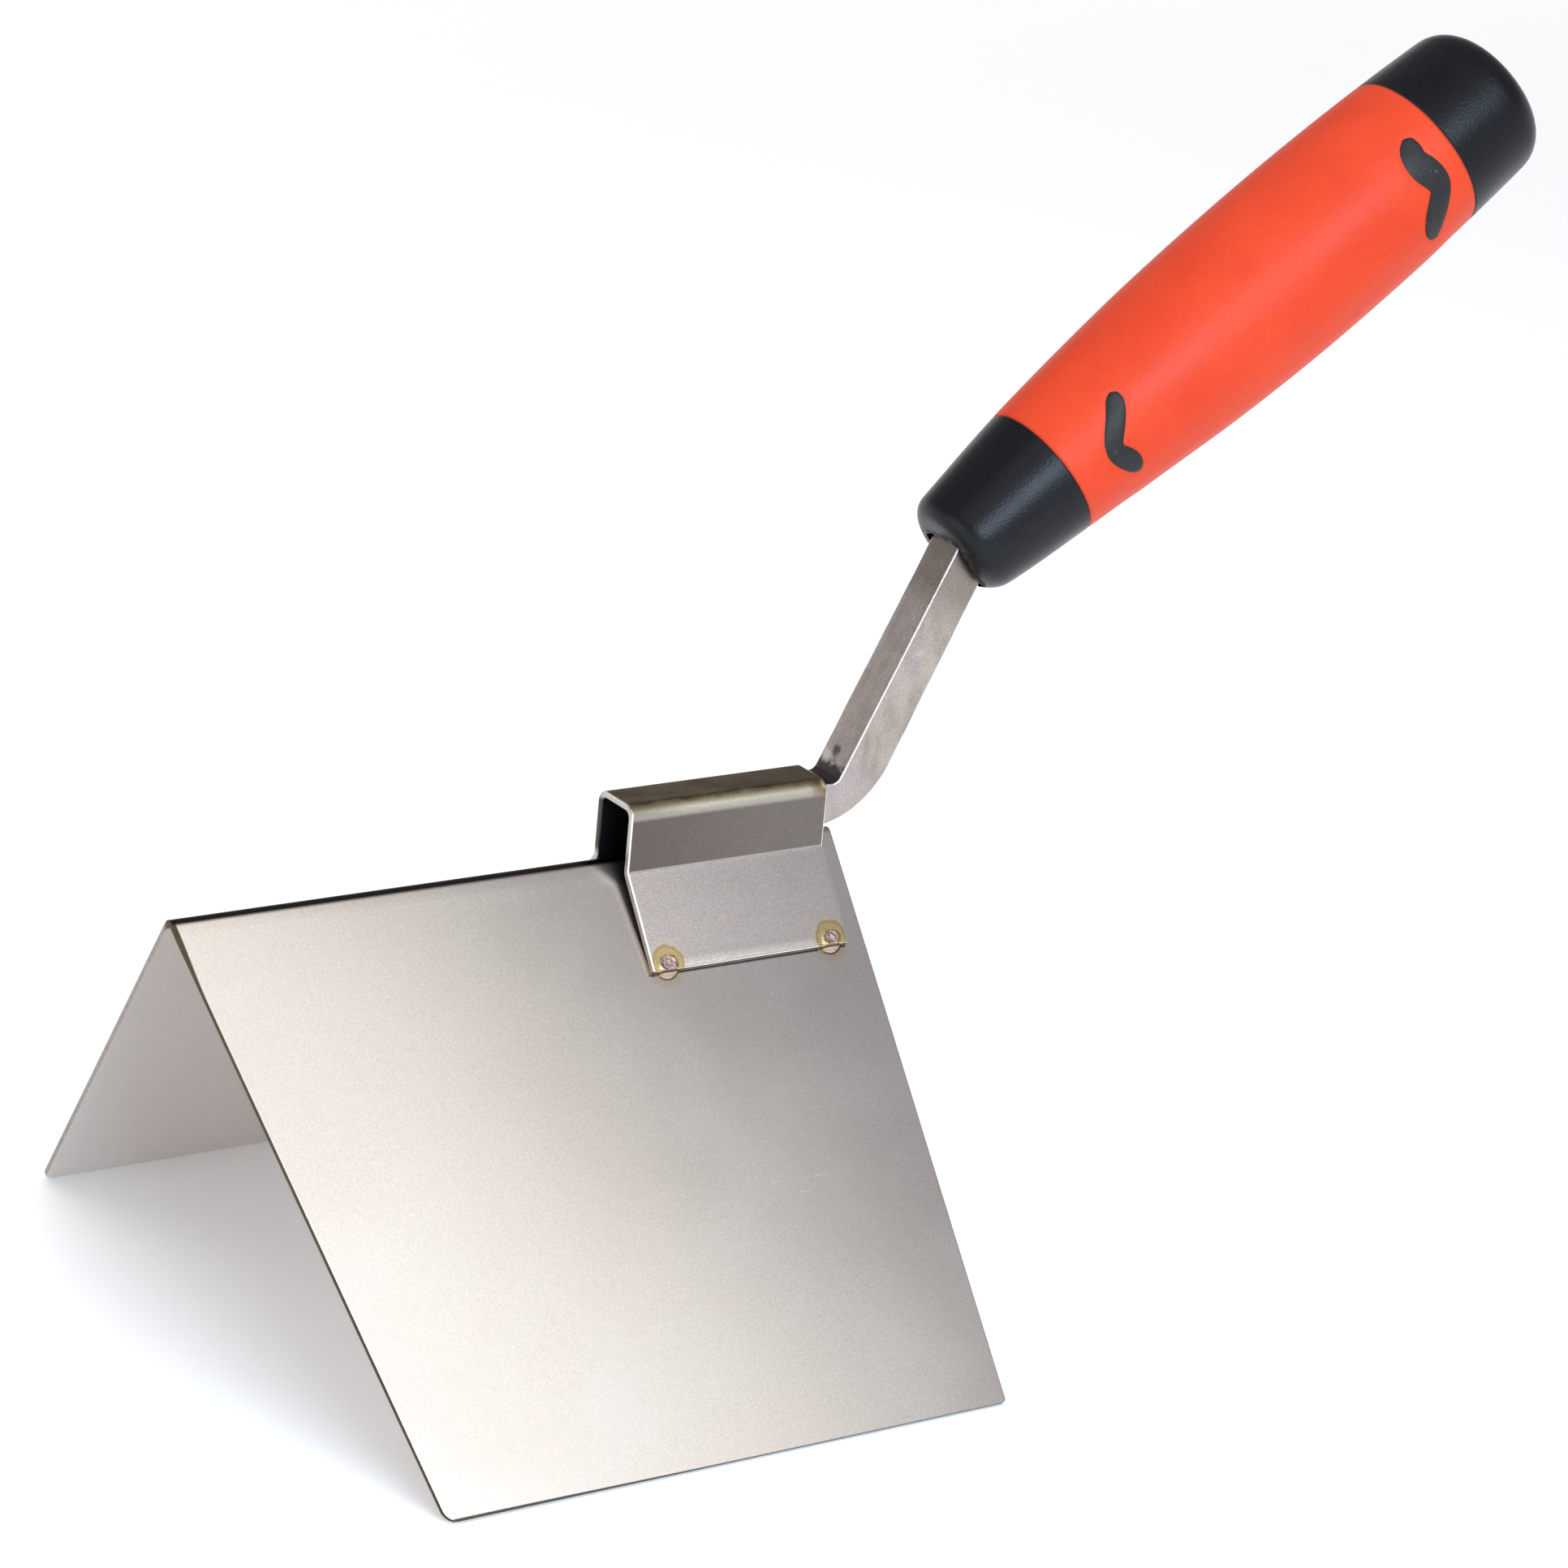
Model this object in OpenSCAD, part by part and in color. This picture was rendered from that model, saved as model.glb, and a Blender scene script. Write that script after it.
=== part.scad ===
// Outside corner trowel: a folded stainless blade, a hat-shaped bracket spot-welded over its ridge,
// a cranked square bar, and a barrel handle with a moulded core and a soft sleeve.
// The ridge runs along X, the tool is symmetric about Y = 0, and it stands on the blade's lower edges.

/* [Blade] */
// Length of the ridge
ridge_length = 127; // [90:1:160]
// Width of one leaf, from the sharp ridge line to its lower edge
leaf_width = 105; // [80:1:130]
// Angle between the two leaves, left a little closed so that the blade springs onto the wall
fold_angle = 85; // [78:0.5:92]
// Thickness of the blade sheet
blade_sheet = 0.9; // [0.7:0.1:1.4]
// Outside radius of the fold
fold_radius = 1.4; // [1.2:0.1:4]
// How far the toe edge slants in by the time it reaches the lower edge
toe_slant = 16.4; // [0:0.2:24]
// How far the heel edge slants in by the time it reaches the lower edge
heel_slant = 3; // [0:0.2:12]
// Radius of the lower toe corners
toe_corner_radius = 2.6; // [0.5:0.1:8]
// Radius of the lower heel corners
heel_corner_radius = 0.6; // [0.2:0.1:8]

/* [Bracket] */
// Thickness of the bracket sheet
bracket_sheet = 1.2; // [0.9:0.1:2]
// Length of the bracket along the ridge
bracket_length = 39.3; // [30:0.1:60]
// Gap from the bracket to the heel end of the ridge
bracket_setback = 4.6; // [2:0.1:20]
// Height of the bracket's flat top over the sharp ridge line
bracket_top = 10; // [9.3:0.1:14]
// Height, against the sharp ridge line, of the bend between a side wall and its flange
flange_bend = -1.75; // [-4:0.05:-1]
// Distance from the ridge line, down the leaf, to the flange's lower edge
flange_reach = 22.15; // [15:0.05:40]
// Gap between the bar and each side wall
side_play = 0.35; // [0.05:0.05:1]
// Outside radius of the two upper bends
top_bend_radius = 2.4; // [1.6:0.1:3]

/* [Welds] */
// Radius of a spot weld
weld_radius = 2.3; // [1.5:0.1:3]
// Height of a spot weld over the flange
weld_crown = 0.3; // [0.1:0.05:0.6]
// Distance from the flange's lower edge up to a spot weld's centre
weld_up = 1.25; // [0.6:0.05:3]
// Distance from each end of the bracket to a spot weld's centre
weld_inset = 3.2; // [2.6:0.1:8]

/* [Bar] */
// Side of the square bar
bar_size = 7.7; // [6:0.1:7.7]
// Distance from the bracket's toe end to the start of the bar
bar_start = 9; // [3:0.5:20]
// Angle of the riser above the ridge
riser_angle = 63.2; // [50:0.1:75]
// Distance past the bracket where the bar's centre line turns up
riser_turn = 5.5; // [4:0.1:12]
// Radius on the hollow side of the turn
turn_inside_radius = 1.6; // [1:0.1:5]
// Radius on the full side of the turn
turn_outside_radius = 18; // [9:0.1:18]
// How far the full side of the turn is pushed out beyond the bar's own width
turn_swell = 0.9; // [0:0.1:1]
// How far the tang reaches up the handle, past the front of the sleeve
tang_reach = 62; // [30:1:90]

/* [Handle] */
// Angle of the handle above the ridge
handle_angle = 35; // [25:0.5:45]
// Distance from the heel end of the ridge to the front of the sleeve, on the handle's axis
handle_out = 37.6; // [30:0.1:60]
// Height of the front of the sleeve over the ridge, on the handle's axis
handle_up = 59.6; // [50:0.1:75]
// Length of the black nose ahead of the sleeve
nose_length = 21.8; // [15:0.1:30]
// Length of the sleeve
sleeve_length = 91.4; // [80:0.1:110]
// Length of the black end behind the sleeve
end_length = 19.6; // [12:0.1:30]
// Largest radius of the handle
handle_radius = 15.95; // [14:0.05:18]
// Distance from the front of the sleeve to the largest radius
crown_at = 63; // [40:1:80]
// Radius of the long arc that the handle's outline follows
crown_radius = 590; // [450:10:1500]
// Rounding of the nose
nose_round = 4.6; // [2:0.1:6]
// Rounding of the end
end_round = 6; // [2:0.1:8]
// Thickness of the sleeve
sleeve_thickness = 2.4; // [1.5:0.1:4]
// Play round the bar in the mouth of the handle
mouth_play = 1.1; // [0.5:0.1:2]

/* [Pads] */
// Width of a pad
pad_width = 3.8; // [2:0.1:5]
// Height of a front pad's centre line
front_pad_height = 9.5; // [7:0.1:14]
// How far a front pad bows towards the nose
front_pad_bow = 3; // [0:0.1:4]
// Distance from the front of the sleeve to a front pad's ends
front_pad_inset = 11.5; // [8:0.5:20]
// Height of a rear pad's centre line
rear_pad_height = 14.5; // [7:0.1:18]
// How far a rear pad swings to each side
rear_pad_swing = 1.6; // [0:0.1:3]
// Distance from the rear of the sleeve to a rear pad
rear_pad_inset = 8; // [6:0.5:20]
// Angle by which the pads sit above the handle's side
pad_lift = 14; // [0:1:30]

/* [Hidden] */
arc_steps = 6;
slip = 0.05;
half_fold = fold_angle / 2;
fold_end = fold_radius * tan(90 - half_fold);
bracket_toe = ridge_length - bracket_setback - bracket_length;
bracket_heel = ridge_length - bracket_setback;
channel_half = bar_size / 2 + side_play + bracket_sheet;
bar_centre = bracket_top - bracket_sheet - slip - bar_size / 2;
sleeve_front = [ridge_length + handle_out, handle_up];
turn = [bracket_heel + riser_turn, bar_centre];
bar_grip = [cos(riser_angle), sin(riser_angle)];
handle_way = [cos(handle_angle), sin(handle_angle)];
crank = meeting(turn, bar_grip, sleeve_front, handle_way);
tang_end = sleeve_front + tang_reach * handle_way;
bar_path = [[bracket_toe + bar_start, bar_centre], turn, crank, tang_end];
nose_face = sleeve_front - nose_length * handle_way;
handle_end = sleeve_length + end_length;
barrel_steps = 18;
pad_steps = 10;

// The lowest line of the blade is the inner edge of each leaf's cut.
drop = leaf_width * cos(half_fold) + blade_sheet * sin(half_fold);
far_x = max([for (p = handle_outline()) sleeve_front.x + p.y * handle_way.x + p.x * handle_way.y]);
middle_x = far_x / 2;

// ---- outlines ----

function left_of(a, b) = [a.y - b.y, b.x - a.x] / norm(b - a);

function meeting(p, u, q, v) = p + u * cross(q - p, v) / cross(u, v);

function mitre(a, b, c, w) =
    let (m = left_of(a, b), n = left_of(b, c))
    b + w * (m + n) / (1 + m * n);

// A path moved sideways by w, to the left where w is positive.
function beside(path, w) =
    let (last = len(path) - 1)
    [for (i = [0 : last])
        i == 0 ? path[0] + w * left_of(path[0], path[1]) :
        i == last ? path[last] + w * left_of(path[last - 1], path[last]) :
        mitre(path[i - 1], path[i], path[i + 1], w)];

// The corner a-b-c rounded to radius r.
function round_corner(a, b, c, r) =
    let (
        u = (a - b) / norm(a - b),
        v = (c - b) / norm(c - b),
        half = acos(u * v) / 2,
        centre = b + (u + v) / norm(u + v) * r / sin(half),
        from = b + u * r / tan(half) - centre,
        to = b + v * r / tan(half) - centre,
        sweep = 180 - 2 * half
    )
    [for (k = [0 : arc_steps])
        centre + (from * sin(sweep * (1 - k / arc_steps)) + to * sin(sweep * k / arc_steps)) / sin(sweep)];

// A path whose inner corners are rounded to the radii given, 0 for a sharp one.
function rounded(path, radii) =
    let (last = len(path) - 1)
    [for (i = [0 : last])
        each (i == 0 || i == last || radii[i] == 0)
            ? [path[i]]
            : round_corner(path[i - 1], path[i], path[i + 1], radii[i])];

function backwards(list) = [for (i = [len(list) - 1 : -1 : 0]) list[i]];

// A closed strip between two parallels of a path, each with its own corner radii.
function strip(path, left, right, left_radii, right_radii) =
    concat(rounded(beside(path, left), left_radii), backwards(rounded(beside(path, -right), right_radii)));

// Handle radius at the distance s behind the front of the sleeve.
function barrel(s) = handle_radius - (s - crown_at) * (s - crown_at) / (2 * crown_radius);

function barrel_run(from, to, inset = 0) =
    let (steps = ceil(barrel_steps * (to - from) / handle_end))
    [for (i = [0 : steps]) let (s = from + (to - from) * i / steps) [barrel(s) - inset, s]];

// Half outline of the whole handle, as [radius, distance].
function handle_outline() =
    let (
        run = barrel_run(1.6 * nose_round - nose_length, handle_end - 1.6 * end_round),
        nose_corner = [barrel(-nose_length), -nose_length],
        end_corner = [barrel(handle_end), handle_end]
    )
    concat(
        [[0, -nose_length]],
        round_corner([0, -nose_length], nose_corner, run[0], nose_round),
        run,
        round_corner(run[len(run) - 1], end_corner, [0, handle_end], end_round),
        [[0, handle_end]]
    );

// Half outline of the handle under the sleeve.
function core_outline() =
    [for (p = handle_outline())
        if (p.y < 0) p,
     [barrel(0), 0],
     each barrel_run(0, sleeve_length, sleeve_thickness),
     [barrel(sleeve_length), sleeve_length],
     for (p = handle_outline())
        if (p.y > sleeve_length) p];

function sleeve_outline() =
    concat(barrel_run(0, sleeve_length), backwards(barrel_run(0, sleeve_length, sleeve_thickness)));

// Centre line of a pad: its height runs round the handle, and it bows forward and swings to each side.
function pad_path(height, bow, swing) =
    [for (i = [0 : pad_steps])
        let (t = i / pad_steps - 0.5)
        [swing * sin(300 * t) - bow * cos(180 * t), height * t]];

// The half circle that closes a band of half width w at b, for a path that arrives from a.
function band_end(a, b, w) =
    let (heading = atan2(b.y - a.y, b.x - a.x))
    [for (k = [1 : arc_steps - 1])
        let (turned = heading - 90 + 180 * k / arc_steps)
        b + w * [cos(turned), sin(turned)]];

function pad_outline(path) =
    let (w = pad_width / 2)
    concat(
        beside(path, -w), band_end(path[pad_steps - 1], path[pad_steps], w),
        backwards(beside(path, w)), band_end(path[1], path[0], w)
    );

// ---- placing ----

// From the ridge's own frame, with its origin at the toe end of the sharp ridge line.
module placed() {
    translate([-middle_x, 0, drop]) children();
}

// On one leaf: X along the ridge, Y down the leaf, Z into the sheet. side is 1 for near, -1 for far.
module on_leaf(side) {
    mirror([0, side < 0 ? 1 : 0, 0]) rotate([-90 - half_fold, 0, 0]) children();
}

// Z along the handle, from the front of the sleeve.
module on_handle() {
    translate([sleeve_front.x, 0, sleeve_front.y]) rotate([0, 90 - handle_angle, 0]) children();
}

// An outline in the X-Z plane, given a thickness about Y = 0.
module across(thickness) {
    rotate([90, 0, 0]) linear_extrude(thickness, center = true) children();
}

// An outline in the Y-Z plane, drawn out along X.
module along_ridge(from, to) {
    translate([from, 0, 0]) rotate([90, 0, 90]) linear_extrude(to - from) children();
}

// ---- shared shapes ----

// The folded sheet across the ridge, with square ends and both leaves at full width.
module fold_section() {
    foot = [-leaf_width * sin(half_fold), -leaf_width * cos(half_fold)];
    polygon(strip(
        [foot, [0, 0], [-foot.x, foot.y]], 0, blade_sheet,
        [0, fold_radius, 0], [0, fold_radius - blade_sheet, 0]
    ));
}

// What is cut away from a full leaf: the two slanted ends and the rounding of the lower corners.
module leaf_offcuts() {
    start = fold_end + 0.5;
    heel_top = [ridge_length, start];
    heel_low = [ridge_length - heel_slant, leaf_width];
    toe_low = [toe_slant, leaf_width];
    toe_top = [0, start];
    translate([0, 0, -1]) linear_extrude(blade_sheet + 2) difference() {
        translate([-1, start - 1]) square([ridge_length + 2, leaf_width]);
        polygon(rounded(
            [[0, 0], toe_top, toe_low, heel_low, heel_top, [ridge_length, 0]],
            [0, 0, toe_corner_radius, heel_corner_radius, 0, 0]
        ));
    }
}

module hat_section() {
    side = [sin(half_fold), cos(half_fold)];
    foot = [
        -flange_reach * side.x - bracket_sheet * side.y,
        bracket_sheet * side.x - flange_reach * side.y
    ];
    near_half = [foot, [-channel_half, flange_bend], [-channel_half, bracket_top]];
    far_half = [for (p = backwards(near_half)) [-p.x, p.y]];
    inner_top = top_bend_radius - bracket_sheet;
    polygon(strip(
        concat(near_half, far_half), 0, bracket_sheet,
        [0, 0.8, top_bend_radius, top_bend_radius, 0.8, 0],
        [0, 0.8 + bracket_sheet, inner_top, inner_top, 0.8 + bracket_sheet, 0]
    ));
}

module bracket_body() {
    along_ridge(bracket_toe, bracket_heel) hat_section();
}

// The cranked bar, grown by play on every side.
module bar_body(play = 0) {
    w = bar_size / 2 + play;
    lower = beside(bar_path, -w);
    pushed = [lower[0], lower[1] + [turn_swell, 0], lower[2], lower[3]];
    across(2 * w) polygon(concat(
        rounded(beside(bar_path, w), [0, turn_inside_radius, 10, 0]),
        backwards(rounded(pushed, [0, turn_outside_radius, 3, 0]))
    ));
}

// The straight length of the riser inside the handle's mouth, grown by play.
module mouth_block(play, ahead) {
    w = bar_size / 2 + play;
    across(2 * w) polygon(strip([crank - ahead * bar_grip, crank + 2 * bar_grip], w, w, [0, 0], [0, 0]));
}

// The pads' outlines, drawn out sideways from the handle's axis, on both sides of the handle.
module pad_prisms() {
    for (side = [0, 1]) mirror([0, side, 0]) rotate([0, 0, -pad_lift]) {
        translate([0, 0, front_pad_inset])
            pad_prism(pad_path(front_pad_height, front_pad_bow, 0));
        translate([0, 0, sleeve_length - rear_pad_inset])
            pad_prism(pad_path(rear_pad_height, 0, rear_pad_swing));
    }
}

module pad_prism(path) {
    rotate([90, 0, 0]) rotate([0, 0, 90]) linear_extrude(handle_radius + 2)
        polygon(pad_outline(path));
}

// ---- sub-parts ----

module blade() {
    color("gainsboro") placed() difference() {
        along_ridge(0, ridge_length) fold_section();
        for (side = [1, -1]) on_leaf(side) leaf_offcuts();
    }
}

module bracket() {
    color("silver") placed() bracket_body();
}

module shank() {
    color("rosybrown") placed() bar_body();
}

// A spot weld's button, with the bead that has run over the flange's lower edge onto the leaf.
module spot_weld(x, side) {
    color("goldenrod") placed() difference() {
        on_leaf(side) translate([x, flange_reach - weld_up, -bracket_sheet - weld_crown])
            cylinder(h = bracket_sheet + weld_crown, r = weld_radius, $fn = 48);
        bracket_body();
    }
}

// The fillet of weld between the bracket's end and the top of the bar.
module heel_weld() {
    bar_top = bar_centre + bar_size / 2;
    leg = bracket_top - bar_top - 0.2;
    color("dimgray") placed() across(bar_size - 1)
        polygon([[bracket_heel, bar_top], [bracket_heel + leg, bar_top], [bracket_heel, bar_top + leg]]);
}

module handle_core() {
    color("#24262b") placed() difference() {
        on_handle() union() {
            rotate_extrude($fn = 96) polygon(core_outline());
            intersection() {
                pad_prisms();
                rotate_extrude($fn = 96) polygon(sleeve_outline());
            }
        }
        bar_body(slip);
        mouth_block(mouth_play, 16);
    }
}

module grip_sleeve() {
    color("#f5512e") placed() on_handle() difference() {
        rotate_extrude($fn = 96) polygon(sleeve_outline());
        pad_prisms();
    }
}

// The black adhesive that fills the handle's mouth round the bar, a little below the rim.
module tang_bond() {
    color("#15161a") placed() difference() {
        mouth_block(mouth_play, 4);
        bar_body();
        translate([nose_face.x, 0, nose_face.y]) rotate([0, 90 - handle_angle, 0])
            translate([0, 0, -20 + 1.5]) cylinder(h = 20, r = 20, $fn = 48);
    }
}

blade();
bracket();
shank();
heel_weld();
spot_weld(bracket_toe + weld_inset, 1);  // spot_weld_near_toe
spot_weld(bracket_heel - weld_inset, 1);  // spot_weld_near_heel
spot_weld(bracket_toe + weld_inset, -1);  // spot_weld_far_toe
spot_weld(bracket_heel - weld_inset, -1);  // spot_weld_far_heel
handle_core();
grip_sleeve();
tang_bond();
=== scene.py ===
"""The looks of an outside corner trowel: folded blade, ridge bracket, square bar and barrel handle.

Lengths are in millimetres until a piece is made. The blade and its fittings are drawn from the toe end
of the sharp ridge line (X towards the handle, Y across, Z up). The handle is drawn from the front of its
sleeve: X to the near side, Y down, Z along its axis.
"""
import math
from functools import partial, reduce

import bmesh
import bpy
from mathutils import Matrix, Vector, noise


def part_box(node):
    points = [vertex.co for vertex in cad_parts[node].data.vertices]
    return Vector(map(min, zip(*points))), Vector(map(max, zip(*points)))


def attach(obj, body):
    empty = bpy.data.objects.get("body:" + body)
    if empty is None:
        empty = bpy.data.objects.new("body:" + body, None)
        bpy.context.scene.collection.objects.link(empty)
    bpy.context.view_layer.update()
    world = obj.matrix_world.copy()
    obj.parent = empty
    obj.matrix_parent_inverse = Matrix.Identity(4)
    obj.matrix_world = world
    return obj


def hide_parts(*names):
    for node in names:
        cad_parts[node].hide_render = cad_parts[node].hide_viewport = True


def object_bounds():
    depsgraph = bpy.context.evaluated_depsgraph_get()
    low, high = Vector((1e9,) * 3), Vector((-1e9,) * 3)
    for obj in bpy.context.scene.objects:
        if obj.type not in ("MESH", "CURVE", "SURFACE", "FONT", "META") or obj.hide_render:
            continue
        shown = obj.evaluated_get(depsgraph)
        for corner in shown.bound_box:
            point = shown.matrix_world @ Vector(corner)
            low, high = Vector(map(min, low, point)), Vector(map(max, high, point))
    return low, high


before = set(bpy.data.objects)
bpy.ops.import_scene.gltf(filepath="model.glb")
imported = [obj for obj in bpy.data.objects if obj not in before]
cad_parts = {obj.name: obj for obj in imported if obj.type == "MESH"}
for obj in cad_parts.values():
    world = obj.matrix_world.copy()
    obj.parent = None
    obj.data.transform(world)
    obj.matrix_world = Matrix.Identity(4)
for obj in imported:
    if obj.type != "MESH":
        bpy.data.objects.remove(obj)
cad_low, cad_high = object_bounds()

# ---- sizes ----

MM = 0.001
blade_low, blade_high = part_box("blade")
bracket_low, bracket_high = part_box("bracket")
shank_low, shank_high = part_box("shank")

BLADE_SHEET = 0.9
FOLD_HALF = math.radians(85 / 2)
FOLD_RADIUS = 1.4
TOE_SLANT = 16.4
HEEL_SLANT = 3.0
TOE_CORNER = 2.6
HEEL_CORNER = 0.6
BLADE_LIP = 0.08

BRACKET_SHEET = 1.2
BRACKET_TOP = 10.0
FLANGE_BEND = -1.75
FLANGE_REACH = 22.15
TOP_BEND = 2.4
FLANGE_FILLET = 0.8
SLIP = 0.05
SIDE_PLAY = 0.35
BRACKET_LIP = 0.22

WELD_RADIUS = 2.3
WELD_UP = 1.25
WELD_INSET = 3.2
WELD_ROOT = 0.4

BAR_START = 9.0
BAR_CORNER = 0.24
RISER_ANGLE = math.radians(63.2)
RISER_TURN = 5.5
TURN_INSIDE = 1.6
TURN_OUTSIDE = 18.0
TURN_SWELL = 0.9
CRANK_INSIDE = 3.0
CRANK_OUTSIDE = 10.0
TANG_REACH = 62.0
NICK_AT = 0.56
NICK_DEPTH = 0.3

HANDLE_ANGLE = math.radians(35)
HANDLE_OUT = 37.6
HANDLE_UP = 59.6
NOSE_LENGTH = 21.8
SLEEVE_LENGTH = 91.4
END_LENGTH = 19.6
HANDLE_RADIUS = 15.95
CROWN_AT = 63.0
CROWN_RADIUS = 590.0
NOSE_ROUND = 4.6
NOSE_ROUND_CHANGE = 1.4
END_ROUND = 6.0
ROUND_RUN = 1.6
SLEEVE_THICKNESS = 2.4
SEAM_DEPTH = 0.16
SEAM_WIDTH = 0.3
POCKET_DEPTH = 0.5
PAD_HEIGHT = 0.17
PAD_SUNK = 0.05
PAD_ROOT = 1.2
MOUTH_PLAY = 1.1
MOUTH_DEPTH = 2.6
MOUTH_RAGGED = 0.45
NOSE_FACE = -NOSE_LENGTH
HANDLE_END = SLEEVE_LENGTH + END_LENGTH

RIDGE = Vector((blade_low.x, 0, bracket_high.z - BRACKET_TOP * MM))
RIDGE_LENGTH = (blade_high.x - blade_low.x) / MM
LEAF_DROP = (RIDGE.z - blade_low.z) / MM
LEAF_WIDTH = (LEAF_DROP - BLADE_SHEET * math.sin(FOLD_HALF)) / math.cos(FOLD_HALF)
BRACKET_TOE = (bracket_low.x - blade_low.x) / MM
BRACKET_HEEL = (bracket_high.x - blade_low.x) / MM
BAR = (shank_high.y - shank_low.y) / MM
CHANNEL_HALF = BAR / 2 + SIDE_PLAY + BRACKET_SHEET
BAR_CENTRE = BRACKET_TOP - BRACKET_SHEET - SLIP - BAR / 2
BAR_TOP = BAR_CENTRE + BAR / 2
SLANT_START = FOLD_RADIUS / math.tan(FOLD_HALF) + 0.5
WELD_DOWN = FLANGE_REACH - WELD_UP
WELD_PLACES = {"toe": BRACKET_TOE + WELD_INSET, "heel": BRACKET_HEEL - WELD_INSET}
SIDES = {"near": 1, "far": -1}
SLEEVE_FRONT = Vector((RIDGE_LENGTH + HANDLE_OUT, HANDLE_UP))
HANDLE_WAY = Vector((math.cos(HANDLE_ANGLE), math.sin(HANDLE_ANGLE)))
RISER_WAY = Vector((math.cos(RISER_ANGLE), math.sin(RISER_ANGLE)))


def mix(a, b, t):
    return a + (b - a) * t


def smooth(low, high, value):
    t = min(1.0, max(0.0, (value - low) / (high - low)))
    return t * t * (3 - 2 * t)


def even(count):
    return [i / count for i in range(count + 1)]


def turns(count):
    """Angles once round a circle, the last one short of the first."""
    return [i * math.tau / count for i in range(count)]


def hump(value, middle, wide):
    """1 at the middle, with bell-shaped sides."""
    return math.exp(-((value - middle) / wide) ** 2)


def left_of(a, b):
    way = (b - a).normalized()
    return Vector((-way.y, way.x))


def cross(u, v):
    return u.x * v.y - u.y * v.x


def meeting(p, u, q, v):
    return p + u * cross(q - p, v) / cross(u, v)


TURN = Vector((BRACKET_HEEL + RISER_TURN, BAR_CENTRE))
CRANK = meeting(TURN, RISER_WAY, SLEEVE_FRONT, HANDLE_WAY)


def corner_arc(a, b, c, radius, count):
    """Points of the corner a-b-c rounded to a radius, and the arc's centre."""
    u, v = (a - b).normalized(), (c - b).normalized()
    half = math.acos(u.dot(v)) / 2
    centre = b + (u + v).normalized() * radius / math.sin(half)
    start = b + u * radius / math.tan(half) - centre
    stop = b + v * radius / math.tan(half) - centre
    sweep = math.pi - 2 * half
    points = [
        centre + (start * math.sin(sweep * (1 - t)) + stop * math.sin(sweep * t)) / math.sin(sweep)
        for t in even(count)
    ]
    return points, centre


def distinct(stations):
    """The stations without those that repeat the place before them."""
    kept = [stations[0]]
    for station in stations[1:]:
        if (station[0] - kept[-1][0]).length > 1e-4:
            kept.append(station)
    return kept


def straight(a, b, count):
    """(point, left-hand normal) along a straight run, both of its ends included."""
    return [(mix(a, b, t), left_of(a, b)) for t in even(count)]


def bent_line(corners, radii, counts, arc_steps):
    """(point, left-hand normal) along a line with rounded corners, counts giving the steps in its runs."""
    stations = []
    last = corners[0]
    for a, b, c, radius, count in zip(corners, corners[1:], corners[2:], radii, counts):
        arc, centre = corner_arc(a, b, c, radius, arc_steps)
        outward = -1 if cross(b - a, c - b) > 0 else 1
        stations += straight(last, arc[0], count) + [(p, (p - centre).normalized() * outward) for p in arc]
        last = arc[-1]
    return distinct(stations + straight(last, corners[-1], counts[-1]))


# ---- meshes ----


class Shell:
    """A closed mesh in the making, with the material of each face."""

    def __init__(self, *woven, **how):
        self.points = []
        self.faces = []
        self.looks = []
        for loops in woven:
            self.weave(loops, **how)

    def weave(self, loops, looks=0, wrap=False, cap_look=0):
        """Joins loops of equal length. looks is one number, or one for each step round a loop."""
        first = len(self.points)
        around = len(loops[0])
        for loop in loops:
            self.points.extend(loop)
        rows = len(loops) if wrap else len(loops) - 1
        for i in range(rows):
            here = first + i * around
            there = first + (i + 1) % len(loops) * around
            for j in range(around):
                k = (j + 1) % around
                self.faces.append((here + j, here + k, there + k, there + j))
                self.looks.append(looks if isinstance(looks, int) else looks[j])
        if not wrap:
            end = first + (len(loops) - 1) * around
            self.faces.append(tuple(range(first, first + around))[::-1])
            self.faces.append(tuple(range(end, end + around)))
            self.looks.extend([cap_look, cap_look])

    def mesh(self, name):
        made = bpy.data.meshes.new(name)
        made.from_pydata([Vector(p) * MM for p in self.points], [], self.faces)
        made.polygons.foreach_set("material_index", self.looks)
        shape = bmesh.new()
        shape.from_mesh(made)
        bmesh.ops.recalc_face_normals(shape, faces=shape.faces)
        shape.to_mesh(made)
        shape.free()
        return made


def in_scene(name, data):
    made = bpy.data.objects.new(name, data)
    bpy.context.scene.collection.objects.link(made)
    return made


def make_piece(name, shell, looks, replaced, place, sharp=32):
    """A finished piece: smooth but for edges sharper than the angle given, riding on the only body."""
    made = in_scene(name, shell.mesh(name))
    for look in looks:
        made.data.materials.append(look)
    made.matrix_world = place
    finish_mesh(made.data, sharp)
    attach(made, "root")
    if replaced:
        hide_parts(*replaced)
    return made


def finish_mesh(mesh, sharp):
    mesh.polygons.foreach_set("use_smooth", [True] * len(mesh.polygons))
    mesh.set_sharp_from_angle(angle=math.radians(sharp))


AT_RIDGE = Matrix.Translation(RIDGE)
HANDLE_AXES = Matrix((
    (0, math.sin(HANDLE_ANGLE), math.cos(HANDLE_ANGLE)),
    (-1, 0, 0),
    (0, -math.cos(HANDLE_ANGLE), math.sin(HANDLE_ANGLE)),
))
SLEEVE_PLACE = RIDGE + Vector((SLEEVE_FRONT.x, 0, SLEEVE_FRONT.y)) * MM
AT_SLEEVE = Matrix.Translation(SLEEVE_PLACE) @ HANDLE_AXES.to_4x4()


def uneven(point, scale, seed=0.0):
    """Smooth noise from -1 to 1, with lumps of about the scale given."""
    return noise.noise(Vector(point) / scale + Vector((seed, -seed, 0.37 * seed)))


RIM_STEPS = 3
SUPPORT = 0.15


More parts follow.
